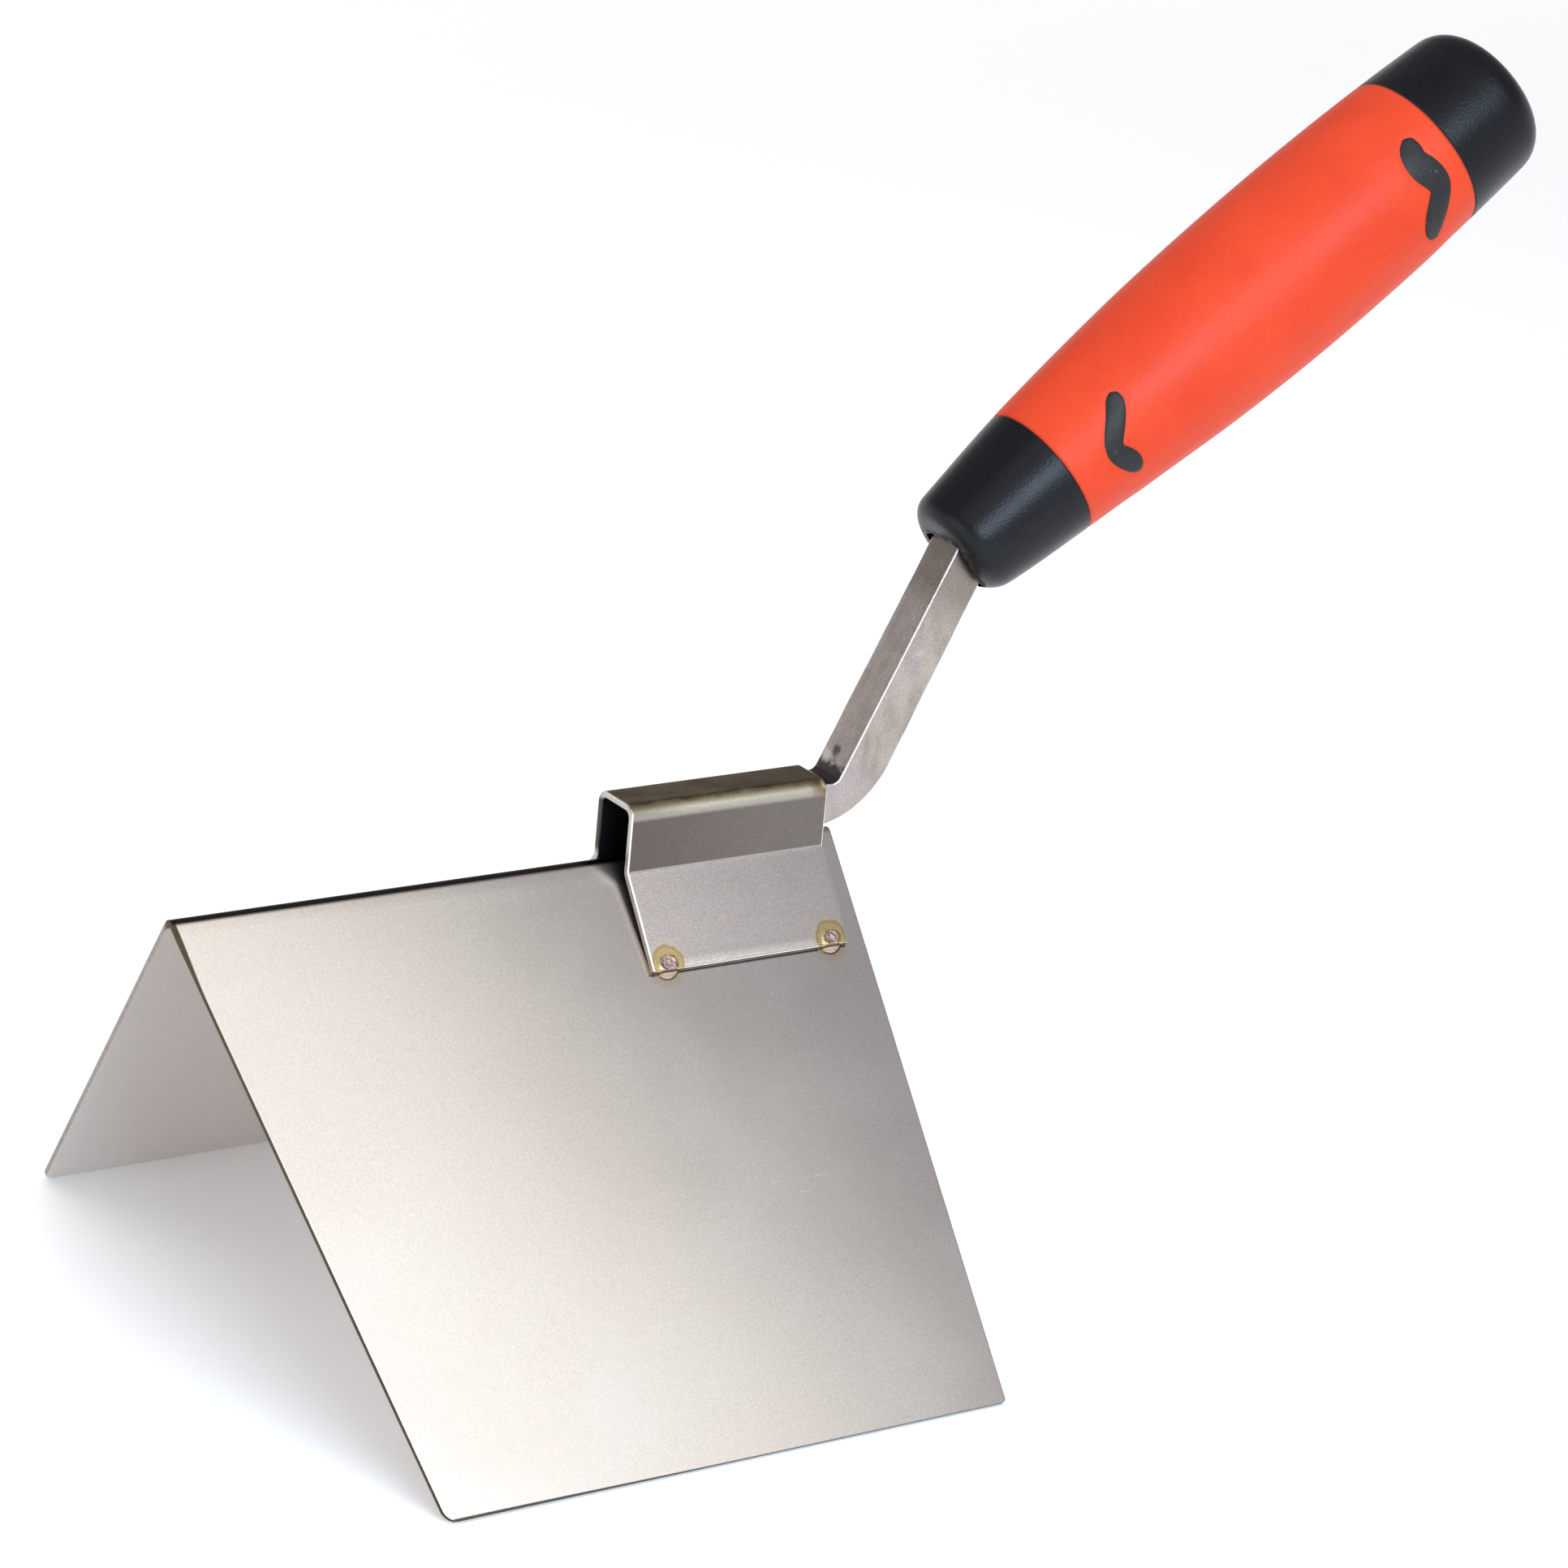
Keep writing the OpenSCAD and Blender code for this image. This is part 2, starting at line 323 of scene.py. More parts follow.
def rim(lip, thickness):
    """(inset, depth) pairs round a cut edge whose two corners are rounded by lip."""
    quarter = [t * math.pi / 2 for t in even(RIM_STEPS)]
    turn = [(lip * (1 - math.sin(a)), lip * (1 - math.cos(a))) for a in quarter]
    return turn + [(inset, thickness - depth) for inset, depth in reversed(turn)]


def sheet_shell(line, ends, thickness, lip, columns, warp=lambda x, point: 0):
    """A bent sheet: line gives its outer section, ends its extent along X at each station of the line."""
    edge = rim(lip, thickness)
    rounding = edge[:len(edge) // 2]
    last = len(line) - 1

    def side_edge(i, inner, steps):
        inward = (line[inner][0] - line[i][0]).normalized()
        return [(*line[i], inward * inset, i, depth) for inset, depth in steps]

    stations = side_edge(0, 1, rounding[::-1])
    stations += [(*line[i], Vector((0, 0)), i, 0) for i in range(1, last)]
    stations += side_edge(last, last - 1, rounding)
    loops = []
    for point, normal, shift, index, trim in stations:
        loop = []
        for x, depth in sheet_ring(*ends[index], edge, lip, columns):
            down = trim + (thickness - 2 * trim) * depth / thickness
            at = point + shift - normal * (down - warp(x, point))
            loop.append((x, at.x, at.y))
        loops.append(loop)
    return Shell(loops, looks=([0] * columns + [1] * (len(edge) - 1)) * 2, cap_look=1)


def sheet_ring(low, high, edge, lip, columns):
    """One loop round a sheet's section along X, as (x, depth): out along the top and back underneath."""
    inner = [mix(low + lip + SUPPORT, high - lip - SUPPORT, t) for t in even(columns - 2)]
    top = [(x, 0.0) for x in [low + lip] + inner + [high - lip]]
    heel = [(high - inset, depth) for inset, depth in edge[1:-1]]
    under = [(x, edge[-1][1]) for x, _ in reversed(top)]
    toe = [(low + inset, depth) for inset, depth in reversed(edge[1:-1])]
    return top + heel + under + toe


# ---- blade ----


def leaf_section(down, side):
    """A point of a leaf's outer face across the ridge, and its outward normal."""
    point = Vector((-side * down * math.sin(FOLD_HALF), -down * math.cos(FOLD_HALF)))
    return point, Vector((-side * math.cos(FOLD_HALF), math.sin(FOLD_HALF)))


def leaf_point(x, down, height, side):
    point, normal = leaf_section(down, side)
    at = point + normal * height
    return Vector((x, at.x, at.y))


def blade_line():
    """The blade's outer section, from the near lower edge over the fold to the far one."""
    fold_end = FOLD_RADIUS / math.tan(FOLD_HALF)
    corner = [LEAF_WIDTH - TOE_CORNER * (1 - math.sin(t * math.pi / 2)) for t in even(5)]
    run = [mix(fold_end, corner[0], t) for t in even(44)] + corner[1:]
    near = [leaf_section(down, 1) for down in reversed(run)]
    far = [leaf_section(down, -1) for down in run]
    arc, centre = corner_arc(near[0][0], Vector((0, 0)), far[-1][0], FOLD_RADIUS, 14)
    fold = [(p, (p - centre).normalized()) for p in arc]
    return distinct(near + fold + far)


def leaf_ends(down):
    """Where the toe and heel edges are, at a distance down a leaf."""
    ends = []
    for slant, radius in ((TOE_SLANT, TOE_CORNER), (HEEL_SLANT, HEEL_CORNER)):
        slope = slant / (LEAF_WIDTH - SLANT_START)
        stretch = math.hypot(1, slope)
        centre_down = LEAF_WIDTH - radius
        centre_in = slope * (centre_down - SLANT_START) + radius * stretch
        if down <= centre_down + radius * slope / stretch:
            ends.append(slope * max(0.0, down - SLANT_START))
        else:
            ends.append(centre_in - math.sqrt(max(0.0, radius ** 2 - (down - centre_down) ** 2)))
    return ends[0], RIDGE_LENGTH - ends[1]


def blade_warp(x, point):
    """The faint unevenness of a rolled sheet, nil at the fold."""
    return 0.09 * smooth(8, 40, point.length) * uneven((x, point.x, point.y), 42, 3.1)


def make_blade():
    line = blade_line()
    ends = [leaf_ends(point.length) for point, _ in line]
    shell = sheet_shell(line, ends, BLADE_SHEET, BLADE_LIP, 56, blade_warp)
    make_piece("blade_sheet", shell, [blade_steel(), cut_steel()], ["blade"], AT_RIDGE)


# ---- bracket ----


def bracket_corners():
    """The near side's bend between wall and flange, and the flange's lower edge, on the outer face."""
    foot = leaf_section(FLANGE_REACH, 1)[0] + leaf_section(0, 1)[1] * BRACKET_SHEET
    return Vector((-CHANNEL_HALF, FLANGE_BEND)), foot


def bracket_line():
    """The bracket's outer section, from the near flange's lower edge over the top to the far one."""
    bend, foot = bracket_corners()
    near = [foot, bend, Vector((-CHANNEL_HALF, BRACKET_TOP))]
    far = [Vector((-p.x, p.y)) for p in reversed(near)]
    radii = [FLANGE_FILLET, TOP_BEND, TOP_BEND, FLANGE_FILLET]
    counts = [19, 10, 7, 10, 19]
    return bent_line(near + far, radii, counts, 18)


def make_bracket():
    line = bracket_line()
    ends = [(BRACKET_TOE, BRACKET_HEEL)] * len(line)
    shell = sheet_shell(line, ends, BRACKET_SHEET, BRACKET_LIP, 40)
    looks = [bracket_steel(), sheared_steel()]
    make_piece("ridge_bracket", shell, looks, ["bracket"], AT_RIDGE)


# ---- welds ----


def weld_height(x, down, radius, seed):
    """Height of a spot weld over the leaf: a dimpled button on the flange, its bead run over the edge."""
    crest = 0.09 * hump(radius, 1.45, 0.5)
    nub = 0.05 * hump(radius, 0.6, 0.25)
    over = down - FLANGE_REACH
    step = BRACKET_SHEET * (1 - smooth(-0.05, 0.75, over))
    bead = 0.55 * smooth(0.1, 0.7, over) * (1 - smooth(1.5, 2.35, radius))
    crevice = 0.34 * hump(over, 0.12, 0.2) * smooth(0.2, 0.7, radius)
    rough = 0.045 * uneven((x, down, 0), 0.7, seed) + 0.04 * uneven((x, down, 4), 1.3, seed)
    fade = 1 - smooth(WELD_RADIUS - 0.5, WELD_RADIUS, radius)
    return step + bead + (crest + nub + rough + 0.16) * fade - crevice


def spot_weld_shell(x, side, seed):
    """A weld drawn in rings from its middle, then sunk into the leaf and the flange at its rim."""
    centre = Vector((x, WELD_DOWN, 0))
    ways = [Vector((math.cos(turn), math.sin(turn), 0)) for turn in turns(44)]
    loops = []
    for radius in [WELD_RADIUS * (0.03 + 0.97 * t) for t in even(17)]:
        ring = [centre + way * radius * (1 + 0.05 * uneven(way, 0.8, seed)) for way in ways]
        loops.append([leaf_point(p.x, p.y, weld_height(p.x, p.y, radius, seed), side) for p in ring])
    foot = [centre + way * WELD_RADIUS * 1.02 for way in ways]
    under = [0.1 if p.y > FLANGE_REACH else BRACKET_SHEET for p in foot]
    return Shell(loops + [[leaf_point(p.x, p.y, top - WELD_ROOT, side) for p, top in zip(foot, under)]])


def make_spot_welds():
    for seed, (side_name, side) in enumerate(SIDES.items()):
        for other, (end_name, x) in enumerate(WELD_PLACES.items()):
            name = f"spot_weld_{side_name}_{end_name}"
            shell = spot_weld_shell(x, side, 7.3 * seed + 3.9 * other)
            make_piece(name + "_bead", shell, [spot_metal()], [name], AT_RIDGE, sharp=60)


def make_heel_weld():
    """A short, lumpy bead in the corner between the bracket's end and the top of the bar."""
    half = BAR / 2 - 0.7
    loops = []
    for t in even(26):
        y = mix(-half, half, t)
        body = math.sqrt(max(0.02, 1 - (2 * t - 1) ** 6))
        loop = []
        for turn in turns(16):
            way = Vector((math.cos(turn), 0, math.sin(turn)))
            radius = body * (0.85 + 0.22 * uneven((y, way.x, way.z), 1.1, 5))
            loop.append(Vector((BRACKET_HEEL + 0.12, y, BAR_TOP + 0.1)) + way * radius)
        loops.append(loop)
    looks = [weld_metal()]
    make_piece("heel_weld_bead", Shell(loops), looks, ["heel_weld"], AT_RIDGE, sharp=60)


# ---- bar ----


def beside(path, width):
    """A path moved to its left by width, with mitred corners."""
    moved = [path[0] + left_of(path[0], path[1]) * width]
    for a, b, c in zip(path, path[1:], path[2:]):
        m, n = left_of(a, b), left_of(b, c)
        moved.append(b + (m + n) * width / (1 + m.dot(n)))
    moved.append(path[-1] + left_of(path[-2], path[-1]) * width)
    return moved


def square_ring(half, corner, flats=5, arc_steps=3):
    """Points round a square with rounded corners, and 1 for each step that lies in a corner."""
    ring = []
    steps = []
    for k in range(4):
        angles = [(k + t) * math.pi / 2 for t in even(arc_steps)]
        ways = [Vector((math.cos(a), math.sin(a))) for a in angles]
        middle = (ways[0] + ways[-1]) * (half - corner)
        ring += [middle + way * corner for way in ways]
        following = (ways[-1] - ways[0]) * (half - corner) + ways[-1] * corner
        ring += [mix(ring[-1], following, t) for t in even(flats)[1:-1]]
        steps += [1] * arc_steps + [0] * flats
    return ring, steps


def make_shank():
    """The bar between its upper and lower outlines, faintly lumpy, nicked in its near upper corner."""
    half = BAR / 2
    tang_end = SLEEVE_FRONT + HANDLE_WAY * TANG_REACH
    path = [Vector((BRACKET_TOE + BAR_START, BAR_CENTRE)), TURN, CRANK, tang_end]
    counts = [14, 72, 12]
    full_side = beside(path, -half)
    full_side[1] += Vector((TURN_SWELL, 0))
    upper = bent_line(beside(path, half), [TURN_INSIDE, CRANK_OUTSIDE], counts, 14)
    lower = bent_line(full_side, [TURN_OUTSIDE, CRANK_INSIDE], counts, 14)
    ring, corners = square_ring(half, BAR_CORNER)
    nick = mix(TURN, CRANK, NICK_AT)
    loops = []
    for (top, _), (bottom, _) in zip(upper, lower):
        middle, reach = (top + bottom) / 2, (top - bottom) / 2
        loop = []
        for point in ring:
            at = middle + reach * (point.x / half)
            place = (at.x, point.y, at.y)
            swell = 0.05 * uneven(place, 6, 1.7) + 0.02 * uneven(place, 1.5, 8.1)
            chipped = point.x > 0 and point.y < -0.8 * half
            chip = NICK_DEPTH * hump((at - nick).length, 0.0, 0.9) if chipped else 0
            size = 1 + (swell - chip) / half
            at = middle + reach * (point.x / half) * size
            loop.append((at.x, point.y * size, at.y))
        loops.append(loop)
    looks = [bar_steel(), bar_corner_steel()]
    make_piece("square_bar", Shell(loops, looks=corners), looks, ["shank"], AT_RIDGE)


# ---- handle ----

CORE_SHARP = 38


def barrel(s):
    """The handle's radius, a trace slimmer than a true arc towards the front of the sleeve."""
    return HANDLE_RADIUS - (s - CROWN_AT) ** 2 / (2 * CROWN_RADIUS) - 0.16 * hump(s, 15, 15)


def barrel_point(s, inset=0.0):
    return Vector((barrel(s) - inset, s))


def bow(s):
    """How far the handle is out of true: bowed up behind the sleeve's front, and its nose drooping."""
    return 0.26 * hump(s, 18, 18) - 0.40 * (1 - smooth(-20, 2, s))


def on_barrel(radius, up, s):
    """A point of the handle. up is the angle from the near side towards the top."""
    return Vector((radius * math.cos(up), -radius * math.sin(up) - bow(s), s))


def core_outline(up):
    """Half outline of the core at an angle, as (radius, distance): nose, run under the sleeve, and end."""
    chamfer = 0.22
    flat_steps = (0.02, 0.3, 0.6, 0.85)
    nose_round = NOSE_ROUND - NOSE_ROUND_CHANGE * math.sin(up)
    nose_to = barrel_point(NOSE_FACE + ROUND_RUN * nose_round)
    end_from = barrel_point(HANDLE_END - ROUND_RUN * END_ROUND)
    nose = corner_arc(Vector((0, NOSE_FACE)), barrel_point(NOSE_FACE), nose_to, nose_round, 9)[0]
    end = corner_arc(end_from, barrel_point(HANDLE_END), Vector((0, HANDLE_END)), END_ROUND, 12)[0]
    face = [Vector((nose[0].x * t, NOSE_FACE)) for t in flat_steps]
    ahead = [barrel_point(mix(nose[-1].y, -chamfer, t)) for t in even(12)[1:]]
    under = [barrel_point(SLEEVE_LENGTH * t, SLEEVE_THICKNESS) for t in even(8)]
    behind = [barrel_point(mix(SLEEVE_LENGTH + chamfer, end[0].y, t)) for t in even(8)[:-1]]
    back = [Vector((end[-1].x * t, HANDLE_END)) for t in flat_steps[::-1]]
    front_edge, rear_edge = barrel_point(0, chamfer), barrel_point(SLEEVE_LENGTH, chamfer)
    return face + nose + ahead + [front_edge] + under + [rear_edge] + behind + end + back


def into_handle(way):
    """A direction in the plane of symmetry, turned into the handle's own frame."""
    return HANDLE_AXES.transposed() @ Vector((way.x, 0, way.y))


CRANK_AT = into_handle(CRANK - SLEEVE_FRONT)
RISER_IN_HANDLE = into_handle(RISER_WAY)
RISER_SLOPE = RISER_IN_HANDLE.y / RISER_IN_HANDLE.z


def nose_surface(x, y):
    """How far behind the nose's face the core's surface lies, at a place across the handle."""
    rise = -(y + bow(NOSE_FACE))
    outline = core_outline(math.atan2(rise, x))
    radius = math.hypot(x, rise)
    for a, b in zip(outline, outline[1:]):
        if a.x <= radius < b.x:
            return mix(a.y, b.y, (radius - a.x) / (b.x - a.x)) - NOSE_FACE
    return 0.0


def mouth_ring(depth, grow, ragged, follow=True):
    """A loop round the bar, grow outside its sides, at a depth below the nose's surface or its face."""
    ring = square_ring(BAR / 2 + grow, 0.5 + 0.8 * grow, flats=9, arc_steps=5)[0]
    axis_y = CRANK_AT.y + (NOSE_FACE + depth - CRANK_AT.z) * RISER_SLOPE
    loop = []
    for point in ring:
        size = 1 + ragged * uneven((point.x, point.y, 0), 1.9, 4.2) / (BAR / 2)
        x, y = point.x * size, axis_y + point.y * size / RISER_IN_HANDLE.z
        back = 0.0
        if follow:
            for _ in range(6):
                back = mix(back, nose_surface(x, y + back * RISER_SLOPE), 0.7)
        loop.append(Vector((x, y + back * RISER_SLOPE, NOSE_FACE + depth + back)))
    return loop


def mouth_band(section):
    """A closed band round the bar from (depth, grow, lumps) points."""
    loops = []
    for depth, grow, lumps in section:
        loop = mouth_ring(depth, grow, 0.35)
        loops.append([p - Vector((0, 0, lumps * (0.4 + 1.1 * uneven(p, 1.0, 6.6)))) for p in loop])
    return Shell(loops, wrap=True)


def cut_mouth(core):
    """Cuts the mouth's recess into the nose, with a boolean that is applied at once."""
    ahead = mouth_ring(-9, MOUTH_PLAY, MOUTH_RAGGED, follow=False)
    cutter = Shell([ahead, mouth_ring(MOUTH_DEPTH, MOUTH_PLAY, MOUTH_RAGGED)])
    tool = in_scene("mouth_cutter", cutter.mesh("mouth_cutter"))
    tool.matrix_world = core.matrix_world
    cut = core.modifiers.new("mouth", "BOOLEAN")
    cut.object = tool
    cut.operation = "DIFFERENCE"
    cut.solver = "EXACT"
    bpy.context.view_layer.update()
    graph = bpy.context.evaluated_depsgraph_get()
    core.data = bpy.data.meshes.new_from_object(core.evaluated_get(graph))
    core.modifiers.clear()
    finish_mesh(core.data, CORE_SHARP)
    bpy.data.objects.remove(tool)


# Centre lines of the pads, as (distance behind the sleeve's front, degrees above the side, half width).
FRONT_PAD = [
    (13.9, 40.5, 1.65), (13.2, 36, 1.7), (12.0, 30, 1.75), (10.6, 24, 1.75), (9.3, 18, 1.75),
    (8.7, 12, 1.8), (8.9, 7, 1.9), (9.7, 1, 2.0), (10.5, -5, 1.95), (11.0, -11, 1.5)
]
REAR_PAD = [
    (84.6, 39.5, 2.2), (84.0, 34.5, 2.4), (84.0, 29, 2.55), (84.5, 23, 2.7), (85.1, 17, 2.55),
    (85.4, 11, 2.4), (85.2, 6, 2.3), (84.0, 0.5, 2.25), (82.6, -6, 2.5), (81.3, -12, 2.3), (81.0, -17, 2.05)
]


def pad_track(controls):
    """The pad's centre line as a smooth curve, unrolled: (distance, arc length round, half width)."""
    knots = [Vector((s, math.radians(up) * barrel(s), wide)) for s, up, wide in controls]
    knots = [knots[0] * 2 - knots[1]] + knots + [knots[-1] * 2 - knots[-2]]
    track = []
    for a, b, c, d in zip(knots, knots[1:], knots[2:], knots[3:]):
        for t in even(5)[:-1]:
            track.append(
                b + (c - a) * (t / 2) + (a * 2 - b * 5 + c * 4 - d) * (t * t / 2)
                + (b * 3 - a - c * 3 + d) * (t ** 3 / 2)
            )
    return track + [knots[-2]]


TRACKS = [pad_track(FRONT_PAD), pad_track(REAR_PAD)]


def round_ended(track):
    """(centre, way, half width) along the track, and beyond both ends, where half circles close the pad."""
    ways = [(b - a).xy.normalized() for a, b in zip(track, track[1:])]
    stations = [(p.xy, way, p.z) for p, way in zip(track, ways[:1] + ways)]

    def beyond(point, way, wide, reach):
        return point + way * wide * reach, way, wide * math.sqrt(1 - reach * reach)

    cap = (0.2, 0.4, 0.6, 0.78, 0.9, 0.97)
    before = [beyond(*stations[0], -reach) for reach in cap[::-1]]
    return before + stations + [beyond(*stations[-1], reach) for reach in cap]


def eased(points, passes):
    """The points with their kinks rounded; the two at each end stay."""
    for _ in range(passes):
        inner = [mix(b, (a + c) / 2, 0.5) for a, b, c in zip(points[1:], points[2:], points[3:-1])]
        points = points[:2] + inner + points[-2:]
    return points


def pad_loops(track, side):
    """One pad: a low cushion that stands a little proud of the sleeve."""
    stations = round_ended(track)
    edges = [[at + Vector((-way.y, way.x)) * wide * q for at, way, wide in stations] for q in (-1, 1)]
    loops = []
    for left, right in zip(*(eased(edge, 14) for edge in edges)):
        wide = (right - left).length / 2
        loop = []
        for t in even(10):
            at = mix(left, right, t)
            cushion = PAD_HEIGHT * (1 - (2 * t - 1) ** 4) * min(1, wide)
            height = cushion + 0.03 * uneven((at.x, at.y, 3), 1.6, 2.2) - PAD_SUNK
            loop.append(pad_point(at, height, side))
        loops.append(loop + [pad_point(mix(left, right, t), -PAD_ROOT, side) for t in (1, 0.5, 0)])
    return loops


def pad_point(at, height, side):
    """A point over the barrel, from its unrolled place, on the near side or mirrored to the far one."""
    up = at.y / barrel(at.x)
    return on_barrel(barrel(at.x) + height, up if side > 0 else math.pi - up, at.x)


def pad_gap(s, up):
    """Distance from a point of the sleeve to the nearest pad's edge, negative under the pad."""
    here = Vector((s, up * barrel(s)))
    gap = 99.0
    for track in TRACKS:
        if track[0].x - 12 < s < track[0].x + 12:
            gap = min(gap, min((here - p.xy).length - p.z for p in track))
    return gap


def sleeve_height(s, up):
    """How far the sleeve's surface stands off the plain barrel: seams, pockets, side flats and crease."""
    near = up if math.cos(up) > 0 else math.pi - up
    near = (near + math.pi) % math.tau - math.pi
    seam = -SEAM_DEPTH * (hump(s, 0, SEAM_WIDTH) + hump(s, SLEEVE_LENGTH, SEAM_WIDTH))
    gap = pad_gap(s, near)
    pocket = -POCKET_DEPTH * smooth(0.35, 1.0, -gap) - 0.13 * hump(gap, 0, 0.4)
    ends = smooth(7, 13, s) * (1 - smooth(80, 87, s))
    under = 1 - smooth(math.radians(-34), math.radians(-29), near)
    crease = 0.13 * ends * under * smooth(-1.9, -1.2, near)
    flat = -0.10 * ends * smooth(-0.5, -0.4, near) * (1 - smooth(0.3, 0.9, near))
    slack = 0.04 * uneven(on_barrel(12, up, s), 22, 9.4)
    return seam + pocket + crease + flat + slack


def sleeve_stations():
    """Distances along the sleeve, close together at the seams and by the pads."""
    bounds = [0, 1.2, 5, 18, 75, 90.2, SLEEVE_LENGTH]
    places = [0.0]
    for low, high, count in zip(bounds, bounds[1:], (5, 6, 32, 34, 38, 5)):
        places += [mix(low, high, t) for t in even(count)[1:]]
    return places


def make_sleeve():
    places = sleeve_stations()
    loops = []
    for up in turns(256):
        outer = [on_barrel(barrel(s) + sleeve_height(s, up), up, s) for s in places]
        inner = [on_barrel(barrel(s) - SLEEVE_THICKNESS, up, s) for s in places[::12][::-1]]
        loops.append(outer + inner)
    shell, looks = Shell(loops, wrap=True), [sleeve_rubber()]
    make_piece("soft_sleeve", shell, looks, ["grip_sleeve"], AT_SLEEVE, sharp=50)


def make_core():
    """The core with its mouth cut, the pads on it, the ragged lip of the mouth and the filling in it."""
    outlines = [[on_barrel(p.x, up, p.y) for p in core_outline(up)] for up in turns(120)]
    shell, looks = Shell(list(zip(*outlines))), [core_plastic()]
    core = make_piece("moulded_core", shell, looks, ["handle_core"], AT_SLEEVE, CORE_SHARP)
    cut_mouth(core)
    pads = Shell(*(pad_loops(track, side) for track in TRACKS for side in SIDES.values()))
    make_piece("grip_pads", pads, [pad_plastic()], [], AT_SLEEVE, sharp=60)
    lip = mouth_band([
        (0.6, 1.0, 0.0), (0.6, 1.75, 0.0), (0.06, 1.7, 0.0), (-0.02, 1.45, 0.35), (0.05, 1.1, 0.4)
    ])
    make_piece("mouth_flash", lip, looks, [], AT_SLEEVE, sharp=60)
    bond = mouth_band([
        (3.0, -0.1, 0.0), (3.0, 1.3, 0.0), (2.1, 1.25, 0.3),
        (1.6, 0.75, 0.9), (1.7, 0.3, 0.9), (1.5, -0.1, 0.6)
    ])
    make_piece("mouth_bond", bond, [bond_black()], ["tang_bond"], AT_SLEEVE, sharp=60)


# ---- materials ----


class Look:
    """A procedural material in the making. Its measures are millimetres in the piece's own frame."""

    def __init__(self, name, **fixed):
        self.material = bpy.data.materials.new(name)
        self.material.use_nodes = True
        self.tree = self.material.node_tree
        self.shader = self.tree.nodes["Principled BSDF"]
        for socket, value in fixed.items():
            self.shader.inputs[socket.replace("_", " ")].default_value = value
        metres = self.tree.nodes.new("ShaderNodeTexCoord").outputs["Object"]
        self.place = self.vector("MULTIPLY", metres, (1 / MM, 1 / MM, 1 / MM))
        self.x, self.y, self.z = self.node("ShaderNodeSeparateXYZ", [self.place]).outputs

    def give(self, socket, value):
        if isinstance(value, bpy.types.NodeSocket):
            self.tree.links.new(value, socket)
        else:
            socket.default_value = value

    def node(self, kind, inputs, **settings):
        """A new node with the settings and its first inputs given."""
        made = self.tree.nodes.new(kind)
        for name, value in settings.items():
            setattr(made, name, value)
        for socket, value in zip(made.inputs, inputs):
            self.give(socket, value)
        return made

    def vector(self, operation, *values):
        made = self.node("ShaderNodeVectorMath", values, operation=operation)
        return made.outputs["Value" if operation in ("DISTANCE", "DOT_PRODUCT", "LENGTH") else "Vector"]

    def math(self, operation, *values):
        return self.node("ShaderNodeMath", values, operation=operation).outputs[0]

    def plus(self, a, b):
        return self.math("ADD", a, b)

    def minus(self, a, b):
        return self.math("SUBTRACT", a, b)

    def both(self, *values):
        """The values multiplied: 1 only where all of them are 1."""
        return reduce(partial(self.math, "MULTIPLY"), values)

    def most(self, *values):
        return reduce(partial(self.math, "MAXIMUM"), values)

    def combine(self, x, y, z):
        return self.node("ShaderNodeCombineXYZ", (x, y, z)).outputs[0]

    def span(self, value, low, high, start=0.0, stop=1.0):
        """value between low and high as a smooth step from start to stop; low may be above high."""
        if low > high:
            low, high, start, stop = high, low, stop, start
        inputs = (value, low, high, start, stop)
        return self.node("ShaderNodeMapRange", inputs, interpolation_type="SMOOTHSTEP").outputs["Result"]

    def middle(self, value, start=0.0, stop=1.0):
        """start to stop as a noise goes through the middle of its range."""
        return self.span(value, 0.3, 0.7, start, stop)

    def window(self, value, empty, full, still_full, empty_again):
        """1 where value is between full and still_full, 0 outside the outer two."""
        return self.both(self.span(value, empty, full), self.span(value, empty_again, still_full))

    def bell(self, value, middle, half):
        """1 where value is at the middle, falling to 0 at half a width either side."""
        return self.span(self.math("ABSOLUTE", self.minus(value, middle)), half, 0.0)

    def noise(self, size, detail=2.0, stretch=(1, 1, 1), offset=0.0, rough=0.5):
        """Noise from 0 to 1 with lumps of about the size given, longer along a stretched axis."""
        at = self.vector("MULTIPLY", self.place, tuple(1 / s for s in stretch))
        if offset:
            at = self.vector("ADD", at, (offset, 2 * offset, -offset))
        return self.node("ShaderNodeTexNoise", (at, 0.0, 1 / size, detail, rough)).outputs["Fac"]

    def wavered(self, value, size, reach, detail=2.0, stretch=(1, 1, 1)):
        """The value moved by noise, up to about the reach given either way."""
        return self.plus(value, self.span(self.noise(size, detail, stretch), 0.2, 0.8, -reach, reach))

    def mix(self, share, a, b, blend="MIX"):
        """Colour a turned into colour b by the share."""
        made = self.node("ShaderNodeMix", [share], data_type="RGBA", blend_type=blend)
        for socket, value in ((made.inputs[6], a), (made.inputs[7], b)):
            self.give(socket, (*value, 1.0) if isinstance(value, tuple) else value)
        return made.outputs[2]

    def coated(self, colour, *coats):
        """The colour under coats, the last on top: each is (where it is, how strong, its colour)."""
        for where, strength, tint in coats:
            colour = self.mix(self.both(where, strength), colour, tint)
        return colour

    def shade(self, colour, value, low, high):
        """The colour times low where the value is small, and times high where it is large."""
        level = self.span(value, 0.25, 0.75, low, high)
        return self.mix(1.0, colour, self.combine(level, level, level), "MULTIPLY")

    def bump(self, *layers):
        """Adds the layers' relief: each is (height from 0 to 1, its depth in millimetres)."""
        under = None
        for height, depth in layers:
            made = self.node("ShaderNodeBump", [1.0, depth * MM])
            self.give(made.inputs["Height"], height)
            if under:
                self.give(made.inputs["Normal"], under)
            under = made.outputs["Normal"]
        self.give(self.shader.inputs["Normal"], under)

    def finish(self, colour, roughness):
        self.give(self.shader.inputs["Base Color"], colour)
        self.give(self.shader.inputs["Roughness"], roughness)
        return self.material

